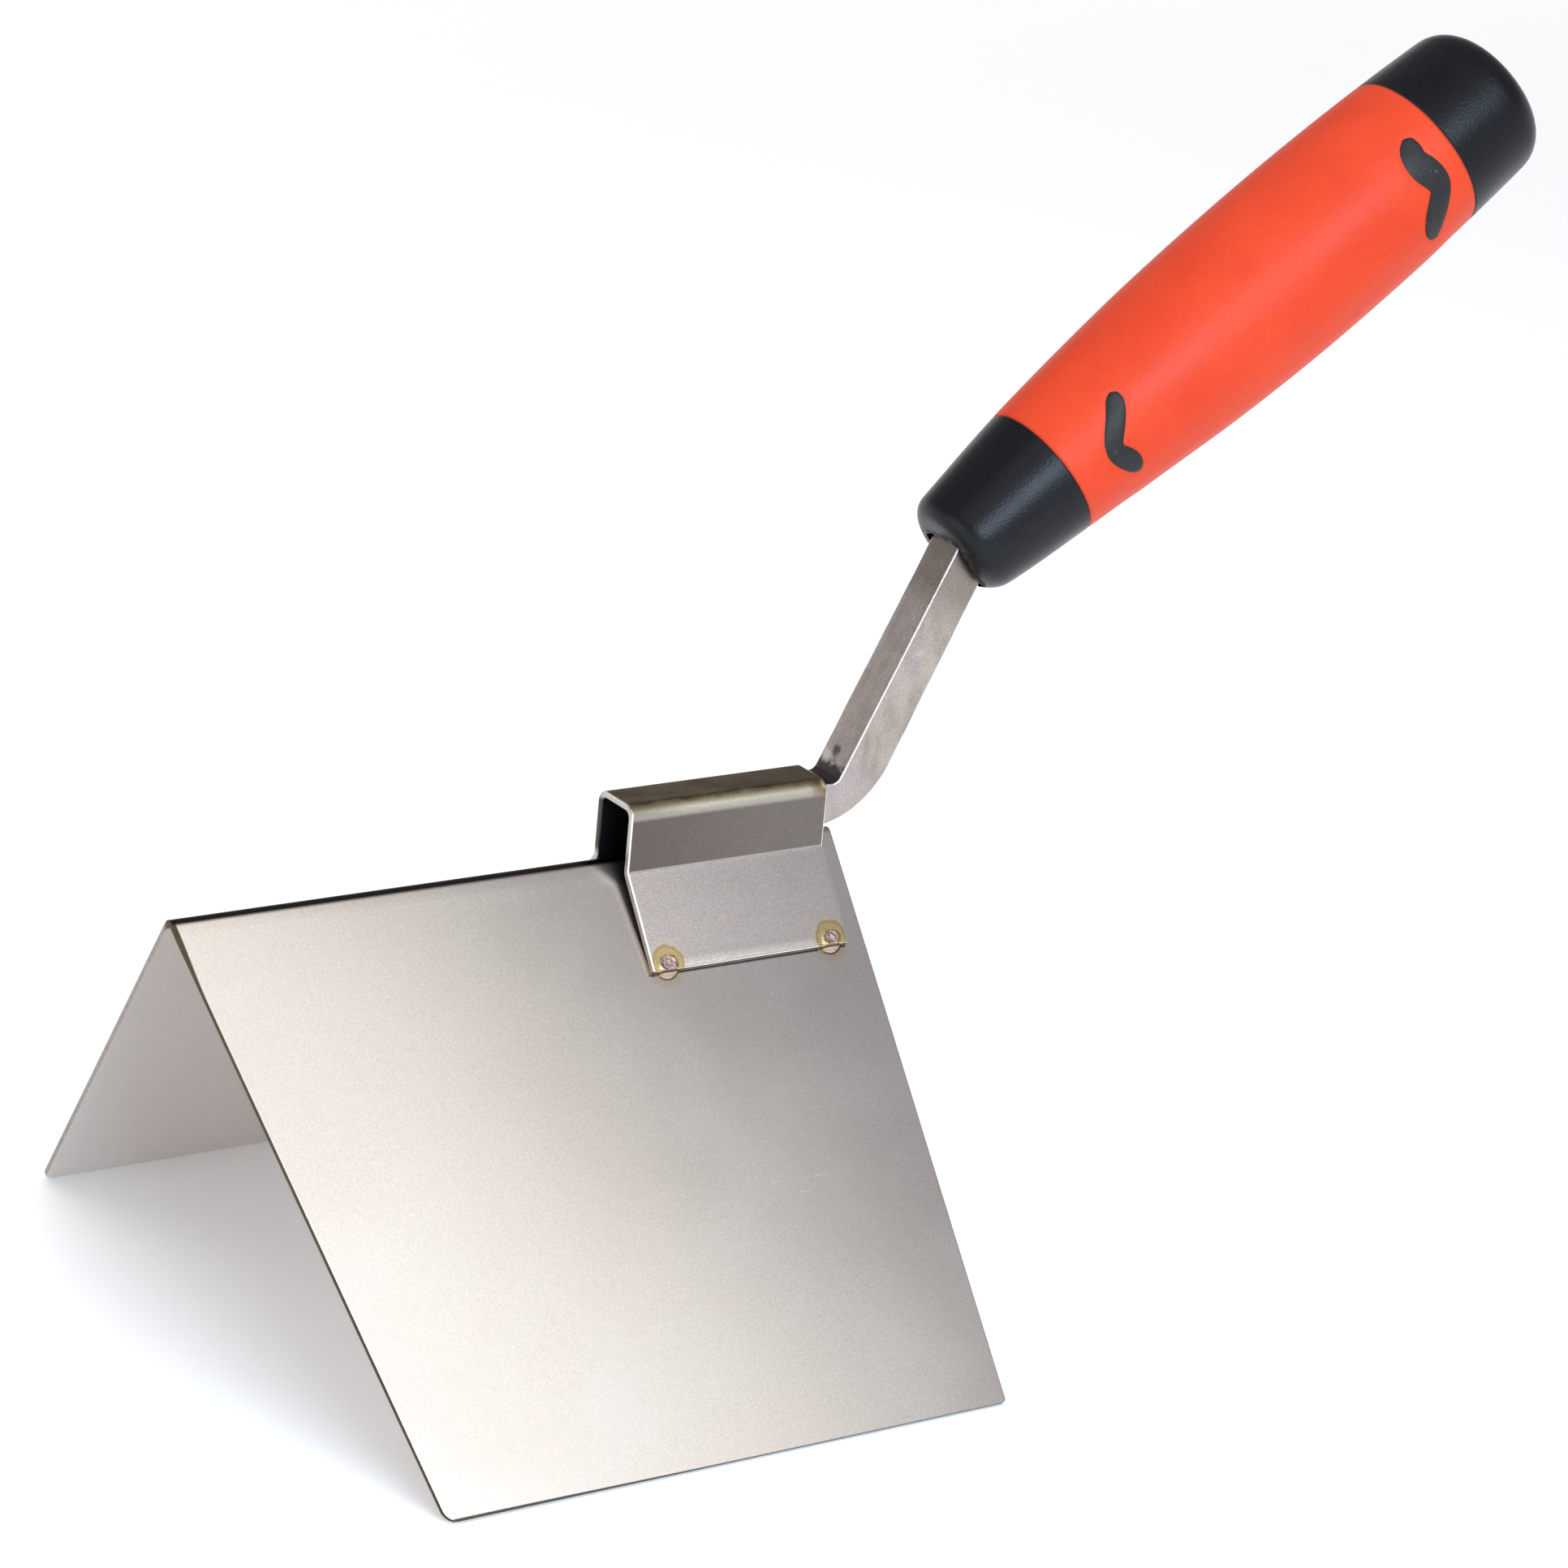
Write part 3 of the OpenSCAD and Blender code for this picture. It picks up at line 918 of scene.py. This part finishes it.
    def aside(self):
        """Distance from the plane of symmetry."""
        return self.math("ABSOLUTE", self.y)

    def down(self):
        """Distance down a leaf from the ridge line."""
        return self.vector("LENGTH", self.combine(0.0, self.y, self.z))

    def folded(self):
        """The place with the far side folded onto the near one, for marks that both leaves have."""
        return self.combine(self.x, self.both(self.aside(), -1.0), self.z)

    def weld_distance(self, height=0.0):
        """Distance to the nearer spot weld's centre, at a height over the leaf."""
        here = self.folded()
        centres = [tuple(leaf_point(x, WELD_DOWN, height, 1)) for x in WELD_PLACES.values()]
        return self.math("MINIMUM", *(self.vector("DISTANCE", here, centre) for centre in centres))


def blade_steel():
    """Mill-finished stainless sheet: fine grain, rolling lines, rub marks, straw tints by the welds,
    painted shade along the fold and a painted shadow below the flanges' lower edges.
    """
    look = Look("blade_steel", Metallic=1.0)
    aside, down = look.aside(), look.down()
    grain = look.noise(0.32, 3)
    cloud = look.noise(34, 3, offset=4.0)
    lines = look.noise(0.5, 3, stretch=(46, 1, 1))
    # painted shade: near-black along the fold, full from the toe to just short of the bracket's heel end,
    # fainter past it
    fold = look.both(
        look.span(aside, 1.35, 0.85), look.span(look.x, BRACKET_HEEL + 1.5, BRACKET_HEEL - 2, 0.35, 1.0)
    )
    rub = look.both(
        look.bell(down, 5.0, 1.5), look.window(look.x, 43, 56, 76, 84),
        look.span(look.noise(0.8, 3, stretch=(1, 6, 6)), 0.45, 0.68), 0.3
    )
    normal = (0, -math.cos(FOLD_HALF), math.sin(FOLD_HALF))
    outside = look.span(look.vector("DOT_PRODUCT", look.folded(), normal), -0.35, -0.15)
    slope = TOE_SLANT / (LEAF_WIDTH - SLANT_START)
    toe_gap = look.minus(look.x, look.both(look.minus(down, SLANT_START), slope))
    toe_gap = look.minus(toe_gap, look.span(down, 0.0, 17.0, 0.75, 0.0))
    low_gap = look.minus(look.minus(LEAF_WIDTH, down), look.span(look.x, 14.0, 82.0, 0.35, 0.0))
    rolled = look.both(outside, look.most(look.span(toe_gap, 0.2, -0.1), look.span(low_gap, 0.15, -0.1)))
    # painted shadow: a dark line on the leaf's outer face just below each flange's lower edge
    flange_shadow = look.both(
        outside, look.bell(down, FLANGE_REACH + 0.1, 0.45),
        look.window(look.x, BRACKET_TOE - 0.1, BRACKET_TOE + 0.2, BRACKET_HEEL - 0.2, BRACKET_HEEL + 0.1)
    )
    halo = look.weld_distance()
    rim_dark = look.both(look.bell(halo, 2.45, 0.3), look.span(down, FLANGE_REACH, FLANGE_REACH + 0.4))
    scratch = look.both(
        look.most(
            look.bell(look.plus(down, look.both(look.x, 0.03)), 66.2, 0.14),
            look.bell(look.minus(down, look.both(look.x, 0.02)), 59.0, 0.12)
        ),
        look.window(look.x, 90, 94, 106, 112), look.span(look.noise(3.5), 0.35, 0.6), outside, 0.5
    )
    worn = look.most(rub, scratch)
    colour = look.mix(cloud, (0.80, 0.755, 0.73), (0.84, 0.795, 0.765))
    colour = look.coated(
        look.shade(colour, grain, 0.94, 1.05),
        (look.span(halo, 4.6, 2.6), 0.5, (0.74, 0.60, 0.34)),
        (rim_dark, 0.85, (0.12, 0.07, 0.05)),
        (fold, 0.97, (0.026, 0.022, 0.019)),
        (rolled, 0.95, (0.056, 0.041, 0.015)),
        (flange_shadow, 0.9, (0.07, 0.055, 0.05)),
        (worn, 0.3, (0.95, 0.94, 0.92))
    )
    look.bump((grain, 0.0022), (lines, 0.0018))
    return look.finish(colour, look.plus(look.span(cloud, 0.2, 0.8, 0.205, 0.245), look.both(worn, 0.1)))


def cut_steel():
    """The blade's sheared edges: olive-brown, streaked across the sheet, with painted light making them
    brighter on the far side.
    """
    look = Look("cut_steel", Metallic=0.85)
    streak = look.noise(0.25, stretch=(1, 5, 5))
    colour = look.mix(look.noise(5, 3), (0.045, 0.032, 0.014), (0.10, 0.075, 0.038))
    # painted light: the far leaf's sheared edges lightened, the same steel as on the near side
    colour = look.coated(colour, (look.span(look.y, 0.5, 2.5), 0.85, (0.34, 0.32, 0.30)))
    look.bump((streak, 0.02))
    return look.finish(look.shade(colour, streak, 0.75, 1.25), look.middle(streak, 0.42, 0.58))


def bracket_steel():
    """Bent sheet, heat-tinted along its top, duller on its sides, straw rings by the spot welds, with
    painted shade inside the channel and a painted highlight along the flanges' lower borders.
    """
    look = Look("bracket_steel", Metallic=1.0)
    aside, under = look.aside(), look.minus(BRACKET_TOP, look.z)
    out, before = look.minus(aside, CHANNEL_HALF), look.minus(BRACKET_HEEL, look.x)
    grain = look.noise(0.28, 3)
    cloud = look.noise(7, 3, offset=1.0)
    blotch = look.noise(4.5, 4, stretch=(2.2, 1, 1), offset=6.0, rough=0.6)
    ragged = look.wavered(aside, 1.6, 0.35, detail=3, stretch=(2, 1, 1))
    top = look.both(look.span(under, 0.9, 0.35), look.span(ragged, 4.3, 3.5))
    fringe = look.both(look.span(under, 1.5, 0.5), look.bell(ragged, 4.05, 0.55))
    wall = look.both(
        look.span(out, -0.6, -0.3), look.span(look.z, FLANGE_BEND - 0.1, FLANGE_BEND + 0.5),
        look.span(under, 1.4, 2.9)
    )
    # painted shade: the channel's inner faces near-black
    shaded_inside = look.both(look.span(out, -0.75, -0.95), look.span(under, 0.8, 1.0))
    # painted highlight: a cream band along each flange's lower border, just above its edge
    border_highlight = look.both(look.span(look.down(), FLANGE_REACH - 2.0, FLANGE_REACH - 0.9), look.span(out, 0, 2))
    heel = look.vector("DISTANCE", look.folded(), (BRACKET_HEEL, -CHANNEL_HALF + 1.0, BRACKET_TOP - 0.6))
    rust = look.span(look.plus(heel, look.span(cloud, 0.2, 0.8, -0.9, 0.9)), 3.4, 1.0)
    ring = look.wavered(look.weld_distance(BRACKET_SHEET), 2.2, 0.2)
    length = BRACKET_HEEL - BRACKET_TOE
    cream = look.mix(look.span(before, length, length - 14), (0.295, 0.245, 0.165), (0.48, 0.415, 0.30))
    sides = look.mix(look.span(before, length, 8), (0.134, 0.108, 0.093), (0.168, 0.142, 0.122))
    tinted = look.mix(look.span(blotch, 0.35, 0.7), (0.105, 0.073, 0.034), (0.225, 0.168, 0.082))
    tinted = look.coated(tinted, (look.span(before, 14, 0), 0.7, (0.11, 0.065, 0.04)))
    colour = look.coated(
        look.mix(cloud, (0.555, 0.50, 0.475), (0.62, 0.56, 0.53)),
        (look.span(under, 2.6, 1.2), 1.0, cream),
        (wall, 1.0, sides),
        (top, 1.0, tinted),
        (fringe, 0.6, (0.34, 0.23, 0.09)),
        (shaded_inside, 1.0, (0.055, 0.05, 0.06)),
        (border_highlight, 0.7, (0.80, 0.745, 0.68)),
        (rust, 0.75, (0.20, 0.11, 0.05)),
        (look.span(heel, 1.3, 0.6), 0.8, (0.72, 0.60, 0.30)),
        (look.span(ring, 4.8, 2.9), 0.35, (0.70, 0.60, 0.40)),
        (look.span(ring, 3.35, 2.75), 0.8, (0.56, 0.41, 0.15)),
        (look.bell(ring, 2.95, 0.45), 0.5, (0.34, 0.21, 0.09))
    )
    dull = look.most(wall, shaded_inside, top, look.span(under, 3.0, 1.5))
    look.bump((grain, 0.004), (blotch, 0.004))
    return look.finish(look.shade(colour, grain, 0.88, 1.12), look.span(dull, 0.0, 1.0, 0.27, 0.44))


def sheared_steel():
    """The bracket's sheared edges: a bright outer corner, and painted shade underneath and on the far wall.
    """
    look = Look("sheared_steel", Metallic=1.0)
    aside, under = look.aside(), look.minus(BRACKET_TOP, look.z)
    streak = look.noise(0.3)
    bend, foot = bracket_corners()
    way = (bend - foot).normalized()
    level = look.vector("DOT_PRODUCT", look.folded(), (0, -way.y, way.x))
    level = look.minus(level, cross(way, bend))
    arris = look.most(look.span(under, 0.4, 0.15), look.span(look.minus(aside, CHANNEL_HALF), -0.4, -0.15))
    on_flange = look.span(look.z, FLANGE_BEND + 0.3, FLANGE_BEND - 0.1)
    arris = look.mix(on_flange, arris, look.span(level, -0.28, -0.12))
    low = look.span(look.z, 0.0, -2.0)
    # painted shade: near-black on the flanges' lower edge faces, in the crevice over the leaf, and on the
    # far wall's end faces
    tip_shade = look.both(look.span(look.minus(look.down(), FLANGE_REACH), -0.3, -0.12), low)
    far = look.both(look.span(look.y, 1.0, 2.0), look.span(look.z, -2.0, 0.0), look.span(under, 1, 2))
    colour = look.coated(
        look.mix(look.noise(3.5), (0.46, 0.415, 0.39), (0.58, 0.53, 0.49)),
        (arris, 1.0, (0.92, 0.885, 0.81)),
        (look.span(look.weld_distance(0.6), 3.4, 2.2), 1.0, (0.42, 0.25, 0.10)),
        (look.most(tip_shade, far), 0.93, (0.045, 0.034, 0.032))
    )
    look.bump((streak, 0.012))
    return look.finish(look.shade(colour, streak, 0.85, 1.08), look.middle(streak, 0.30, 0.42))


def spot_metal():
    """A spot weld: pink-brown dimple, brown and gold rings, bright molten bead past the flange's edge, and
    painted shade in the crevice along that edge.
    """
    look = Look("spot_metal", Metallic=1.0)
    fine = look.noise(0.35, 3)
    away = look.wavered(look.weld_distance(BRACKET_SHEET), 0.8, 0.25)
    over = look.minus(look.down(), FLANGE_REACH)
    colour = look.coated(
        look.mix(look.middle(fine), (0.40, 0.285, 0.255), (0.57, 0.44, 0.395)),
        (look.bell(away, 0.75, 0.3), 0.45, (0.36, 0.22, 0.19)),
        (look.span(away, 1.15, 1.7), 1.0, look.mix(fine, (0.36, 0.25, 0.12), (0.58, 0.45, 0.24))),
        (look.bell(away, 1.3, 0.3), 0.5, (0.26, 0.15, 0.09)),
        (look.bell(away, 2.15, 0.3), 0.7, (0.64, 0.47, 0.15)),
        (look.span(over, 0.15, 0.5), 1.0, (0.50, 0.40, 0.34)),
        # painted shade: near-black in the crevice where the bead meets the flange's edge
        (look.bell(over, 0.12, 0.28), 1.0, (0.07, 0.04, 0.035))
    )
    look.bump((fine, 0.05))
    return look.finish(colour, look.middle(fine, 0.26, 0.44))


def weld_metal():
    """The heel bead: dark, crusted, with brown and straw flecks."""
    look = Look("weld_metal", Metallic=0.9)
    fine = look.noise(0.4, 3)
    colour = look.mix(look.span(look.noise(1.4, 3), 0.35, 0.65), (0.10, 0.07, 0.055), (0.34, 0.24, 0.15))
    look.bump((fine, 0.05))
    return look.finish(look.shade(colour, fine, 0.7, 1.2), look.middle(fine, 0.35, 0.55))


def bar_steel():
    """Cold-drawn bar, mottled grey-brown, scorched at the turn and dirty by the handle, its upper face
    painted lighter and a painted highlight near the turn.
    """
    look = Look("bar_steel", Metallic=1.0)
    half = BAR / 2
    fine = look.noise(0.35, 3)
    mottle = look.noise(3.2, 4, stretch=(1, 1, 2.2), rough=0.6)
    along = look.vector("DOT_PRODUCT", look.place, (RISER_WAY.x, 0, RISER_WAY.y))
    over = look.vector("DOT_PRODUCT", look.place, (-RISER_WAY.y, 0, RISER_WAY.x))
    over = look.minus(over, cross(RISER_WAY, TURN))
    upper = look.both(look.span(over, 0.0, 1.0), look.span(look.aside(), half - 0.02, half - 0.2))
    wander = look.span(look.noise(1.3, 3), 0.2, 0.8, -0.8, 0.8)
    turn, crank = TURN.dot(RISER_WAY), CRANK.dot(RISER_WAY)
    scorch = look.span(look.plus(along, wander), turn + 5.7, turn + 4.3)
    mark = look.vector("DISTANCE", look.place, (TURN.x - 0.25, 0.6, TURN.y + 8.0))
    # a painted highlight: a bright spot on the upper face by the turn
    highlight_spot = look.vector("DISTANCE", look.place, (TURN.x - 0.8, 2.2, TURN.y + 6.9))
    mark, highlight_spot = (look.plus(away, look.both(wander, 0.4)) for away in (mark, highlight_spot))
    dirt = look.span(look.plus(along, look.span(mottle, 0.2, 0.8, -3, 3)), crank - 17, crank - 8)
    colour = look.coated(
        look.mix(look.middle(mottle), (0.32, 0.27, 0.235), (0.455, 0.395, 0.335)),
        (look.span(look.noise(11, offset=3.0), 0.45, 0.7), 0.5, (0.46, 0.39, 0.40)),
        # painted light: the upper face lightened
        (upper, 0.45, (0.66, 0.60, 0.585)),
        (look.both(upper, scorch), 0.92, (0.060, 0.044, 0.050)),
        (look.both(upper, look.span(mark, 1.5, 0.5)), 0.8, (0.07, 0.055, 0.06)),
        (look.both(upper, look.span(highlight_spot, 1.8, 0.4)), 0.85, (0.80, 0.74, 0.72)),
        (dirt, 0.65, (0.18, 0.145, 0.115))
    )
    look.bump((fine, 0.012), (mottle, 0.03))
    return look.finish(look.shade(colour, fine, 0.82, 1.16), look.middle(mottle, 0.34, 0.46))


def bar_corner_steel():
    """The bar's drawn corners, rubbed bright here and there."""
    look = Look("bar_corner_steel", Metallic=1.0)
    fine = look.noise(0.4)
    worn = look.span(look.noise(4.5, 3, stretch=(1, 1, 2)), 0.25, 0.5)
    look.bump((fine, 0.015))
    colour = look.mix(worn, (0.62, 0.57, 0.52), (0.92, 0.88, 0.83))
    return look.finish(colour, look.middle(fine, 0.24, 0.36))


def moulded_black(name, base):
    """Black plastic, begun: the look, its fine and broad noise, and its colour with specks of dust."""
    look = Look(name, IOR=1.5, Specular_IOR_Level=0.21)
    texture = look.noise(0.42, 3)
    specks = look.span(look.noise(0.55, 1, offset=11.0), 0.80, 0.86)
    colour = look.mix(look.middle(texture), base, tuple(1.35 * c for c in base))
    return look, texture, look.noise(9), look.coated(colour, (specks, 0.45, (0.16, 0.165, 0.17)))


def core_plastic():
    """The handle's black moulding, satin, with a fine parting line on its end."""
    look, texture, broad, colour = moulded_black("core_plastic", (0.0045, 0.0048, 0.0062))
    up = look.math("ARCTAN2", look.both(look.y, -1.0), look.x)
    parting = look.both(
        look.bell(up, math.radians(82), 0.012), look.span(look.z, SLEEVE_LENGTH + 3, SLEEVE_LENGTH + 8)
    )
    look.bump((texture, 0.055), (parting, 0.08))
    return look.finish(colour, look.middle(broad, 0.26, 0.33))


def pad_plastic():
    """The pads' black plastic, duller and lightly scuffed."""
    look, texture, broad, colour = moulded_black("pad_plastic", (0.016, 0.0145, 0.0145))
    scuff = look.span(look.noise(0.5, stretch=(1, 4, 1), offset=5.0), 0.68, 0.76)
    look.bump((texture, 0.03), (scuff, 0.02))
    return look.finish(
        look.coated(colour, (scuff, 0.35, (0.26, 0.24, 0.23))), look.middle(broad, 0.43, 0.51)
    )


def sleeve_rubber():
    """Orange-red soft-touch rubber: fine grain, slight blooming, darker in the seams."""
    look = Look("sleeve_rubber", IOR=1.5, Specular_IOR_Level=0.26)
    texture = look.noise(0.4, 3)
    broad = look.noise(16, 3)
    past = look.minus(look.z, SLEEVE_LENGTH)
    seam = look.most(look.span(look.z, 0.45, 0.1), look.span(past, -0.45, -0.1))
    colour = look.mix(look.middle(broad), (0.57, 0.037, 0.0060), (0.61, 0.045, 0.0085))
    colour = look.coated(look.shade(colour, texture, 0.93, 1.07), (seam, 0.55, (0.22, 0.02, 0.01)))
    look.bump((texture, 0.035))
    return look.finish(colour, look.middle(broad, 0.44, 0.52))


def bond_black():
    """Set black adhesive, lumpy and a little glossy."""
    look = Look("bond_black", IOR=1.5)
    lumps = look.noise(0.9, 3)
    look.bump((lumps, 0.12))
    colour = look.mix(look.middle(lumps), (0.008, 0.008, 0.010), (0.022, 0.022, 0.024))
    return look.finish(colour, look.middle(lumps, 0.24, 0.42))


# ---- studio ----


FLOOR_REACH = 12.0


def make_floor():
    """A wide floor at the height of the blade's lower edges, kept pale beyond the lights' reach."""
    mesh = bpy.data.meshes.new("floor")
    signs = ((-1, -1), (1, -1), (1, 1), (-1, 1))
    corners = [(x * FLOOR_REACH, y * FLOOR_REACH, cad_low.z) for x, y in signs]
    mesh.from_pydata(corners, [], [(0, 1, 2, 3)])
    floor = in_scene("floor", mesh)
    paper = Look("floor_paper", Roughness=0.9, Specular_IOR_Level=0.1, Base_Color=(0.96, 0.96, 0.96, 1.0))
    paper.shader.inputs["Emission Color"].default_value = (1.0, 1.0, 1.0, 1.0)
    away = paper.vector("LENGTH", paper.place)
    paper.give(paper.shader.inputs["Emission Strength"], paper.span(away, 800, 2800, 0.10, 0.60))
    mesh.materials.append(paper.material)


def area_light(name, aim, toward, distance, width, height, radiance, colour, twist=0):
    """A softbox that faces aim from a direction, given by its radiance and not by its power."""
    data = bpy.data.lights.new(name, "AREA")
    data.shape = "RECTANGLE"
    data.size = width
    data.size_y = height
    data.energy = radiance * math.pi * width * height
    data.color = colour
    light = in_scene(name, data)
    way = Vector(toward).normalized()
    light.location = Vector(aim) + way * distance
    turned = way.to_track_quat("Z", "Y").to_matrix() @ Matrix.Rotation(math.radians(twist), 3, "Z")
    light.rotation_euler = turned.to_euler()
    light.visible_camera = False
    return light


def make_world():
    """A pale studio: bright low down, so that the floor runs into it, and greyer overhead."""
    world = bpy.data.worlds.new("studio")
    bpy.context.scene.world = world
    world.use_nodes = True
    tree = world.node_tree
    way = tree.nodes.new("ShaderNodeTexCoord").outputs["Generated"]
    apart = tree.nodes.new("ShaderNodeSeparateXYZ")
    ramp = tree.nodes.new("ShaderNodeValToRGB")
    tree.links.new(way, apart.inputs[0])
    tree.links.new(apart.outputs["Z"], ramp.inputs["Fac"])
    low, high = ramp.color_ramp.elements
    low.position, low.color = 0.10, (0.88, 0.88, 0.89, 1)
    high.position, high.color = 0.34, (0.29, 0.28, 0.28, 1)
    tree.links.new(ramp.outputs["Color"], tree.nodes["Background"].inputs["Color"])


VIEW_AZIMUTH = math.radians(-35.37)
VIEW_ELEVATION = math.radians(19.49)
VIEW_ROLL = math.radians(5.52)
VIEW_DISTANCE = 0.9263
VIEW_LENS = 124.55
VIEW_AIM = (cad_low + cad_high) / 2 + Vector((-13.07, 0.84, -19.4)) * MM


def make_camera():
    """The photograph's camera, turned a little about its own line of sight."""
    data = bpy.data.cameras.new("camera")
    data.sensor_width = 36
    data.lens = VIEW_LENS
    data.clip_start = 0.01
    data.clip_end = 100
    camera = in_scene("camera", data)
    place = Matrix.Translation(VIEW_AIM)
    for angle, axis in ((VIEW_AZIMUTH, "Z"), (math.pi / 2 - VIEW_ELEVATION, "X"), (VIEW_ROLL, "Z")):
        place = place @ Matrix.Rotation(angle, 4, axis)
    camera.matrix_world = place @ Matrix.Translation((0, 0, VIEW_DISTANCE))
    bpy.context.scene.camera = camera


def make_lights():
    """Three softboxes in front and a broad one overhead, which the metal doesn't mirror."""
    leaf = leaf_point(RIDGE_LENGTH / 2, LEAF_WIDTH / 2, 0, 1) * MM + RIDGE
    grip = AT_SLEEVE @ (Vector((0, 0, SLEEVE_LENGTH / 2)) * MM)
    area_light("key_softbox", leaf, (0.03, -0.44, 0.68), 0.48, 0.43, 0.60, 0.85, (1.0, 0.94, 0.835), 34)
    blue = (0.575, 0.76, 0.98)
    area_light("front_softbox", grip, (-0.12, -0.885, 0.43), 0.95, 0.80, 0.32, 11.5, blue, 34)
    area_light("toe_softbox", leaf, (-1.0, -0.12, 0.22), 0.75, 0.6, 0.4, 1.2, (1.0, 0.99, 0.98))
    top = area_light("top_softbox", (-0.5, 1.2, 0), (0, 0, 1.0), 2.0, 4.0, 4.0, 1.1, (1.0, 0.99, 0.985))
    top.visible_glossy = False


bpy.context.scene.view_settings.view_transform = "Standard"
make_camera()
make_blade()
make_bracket()
make_spot_welds()
make_heel_weld()
make_shank()
make_core()
make_sleeve()
make_floor()
make_world()
make_lights()
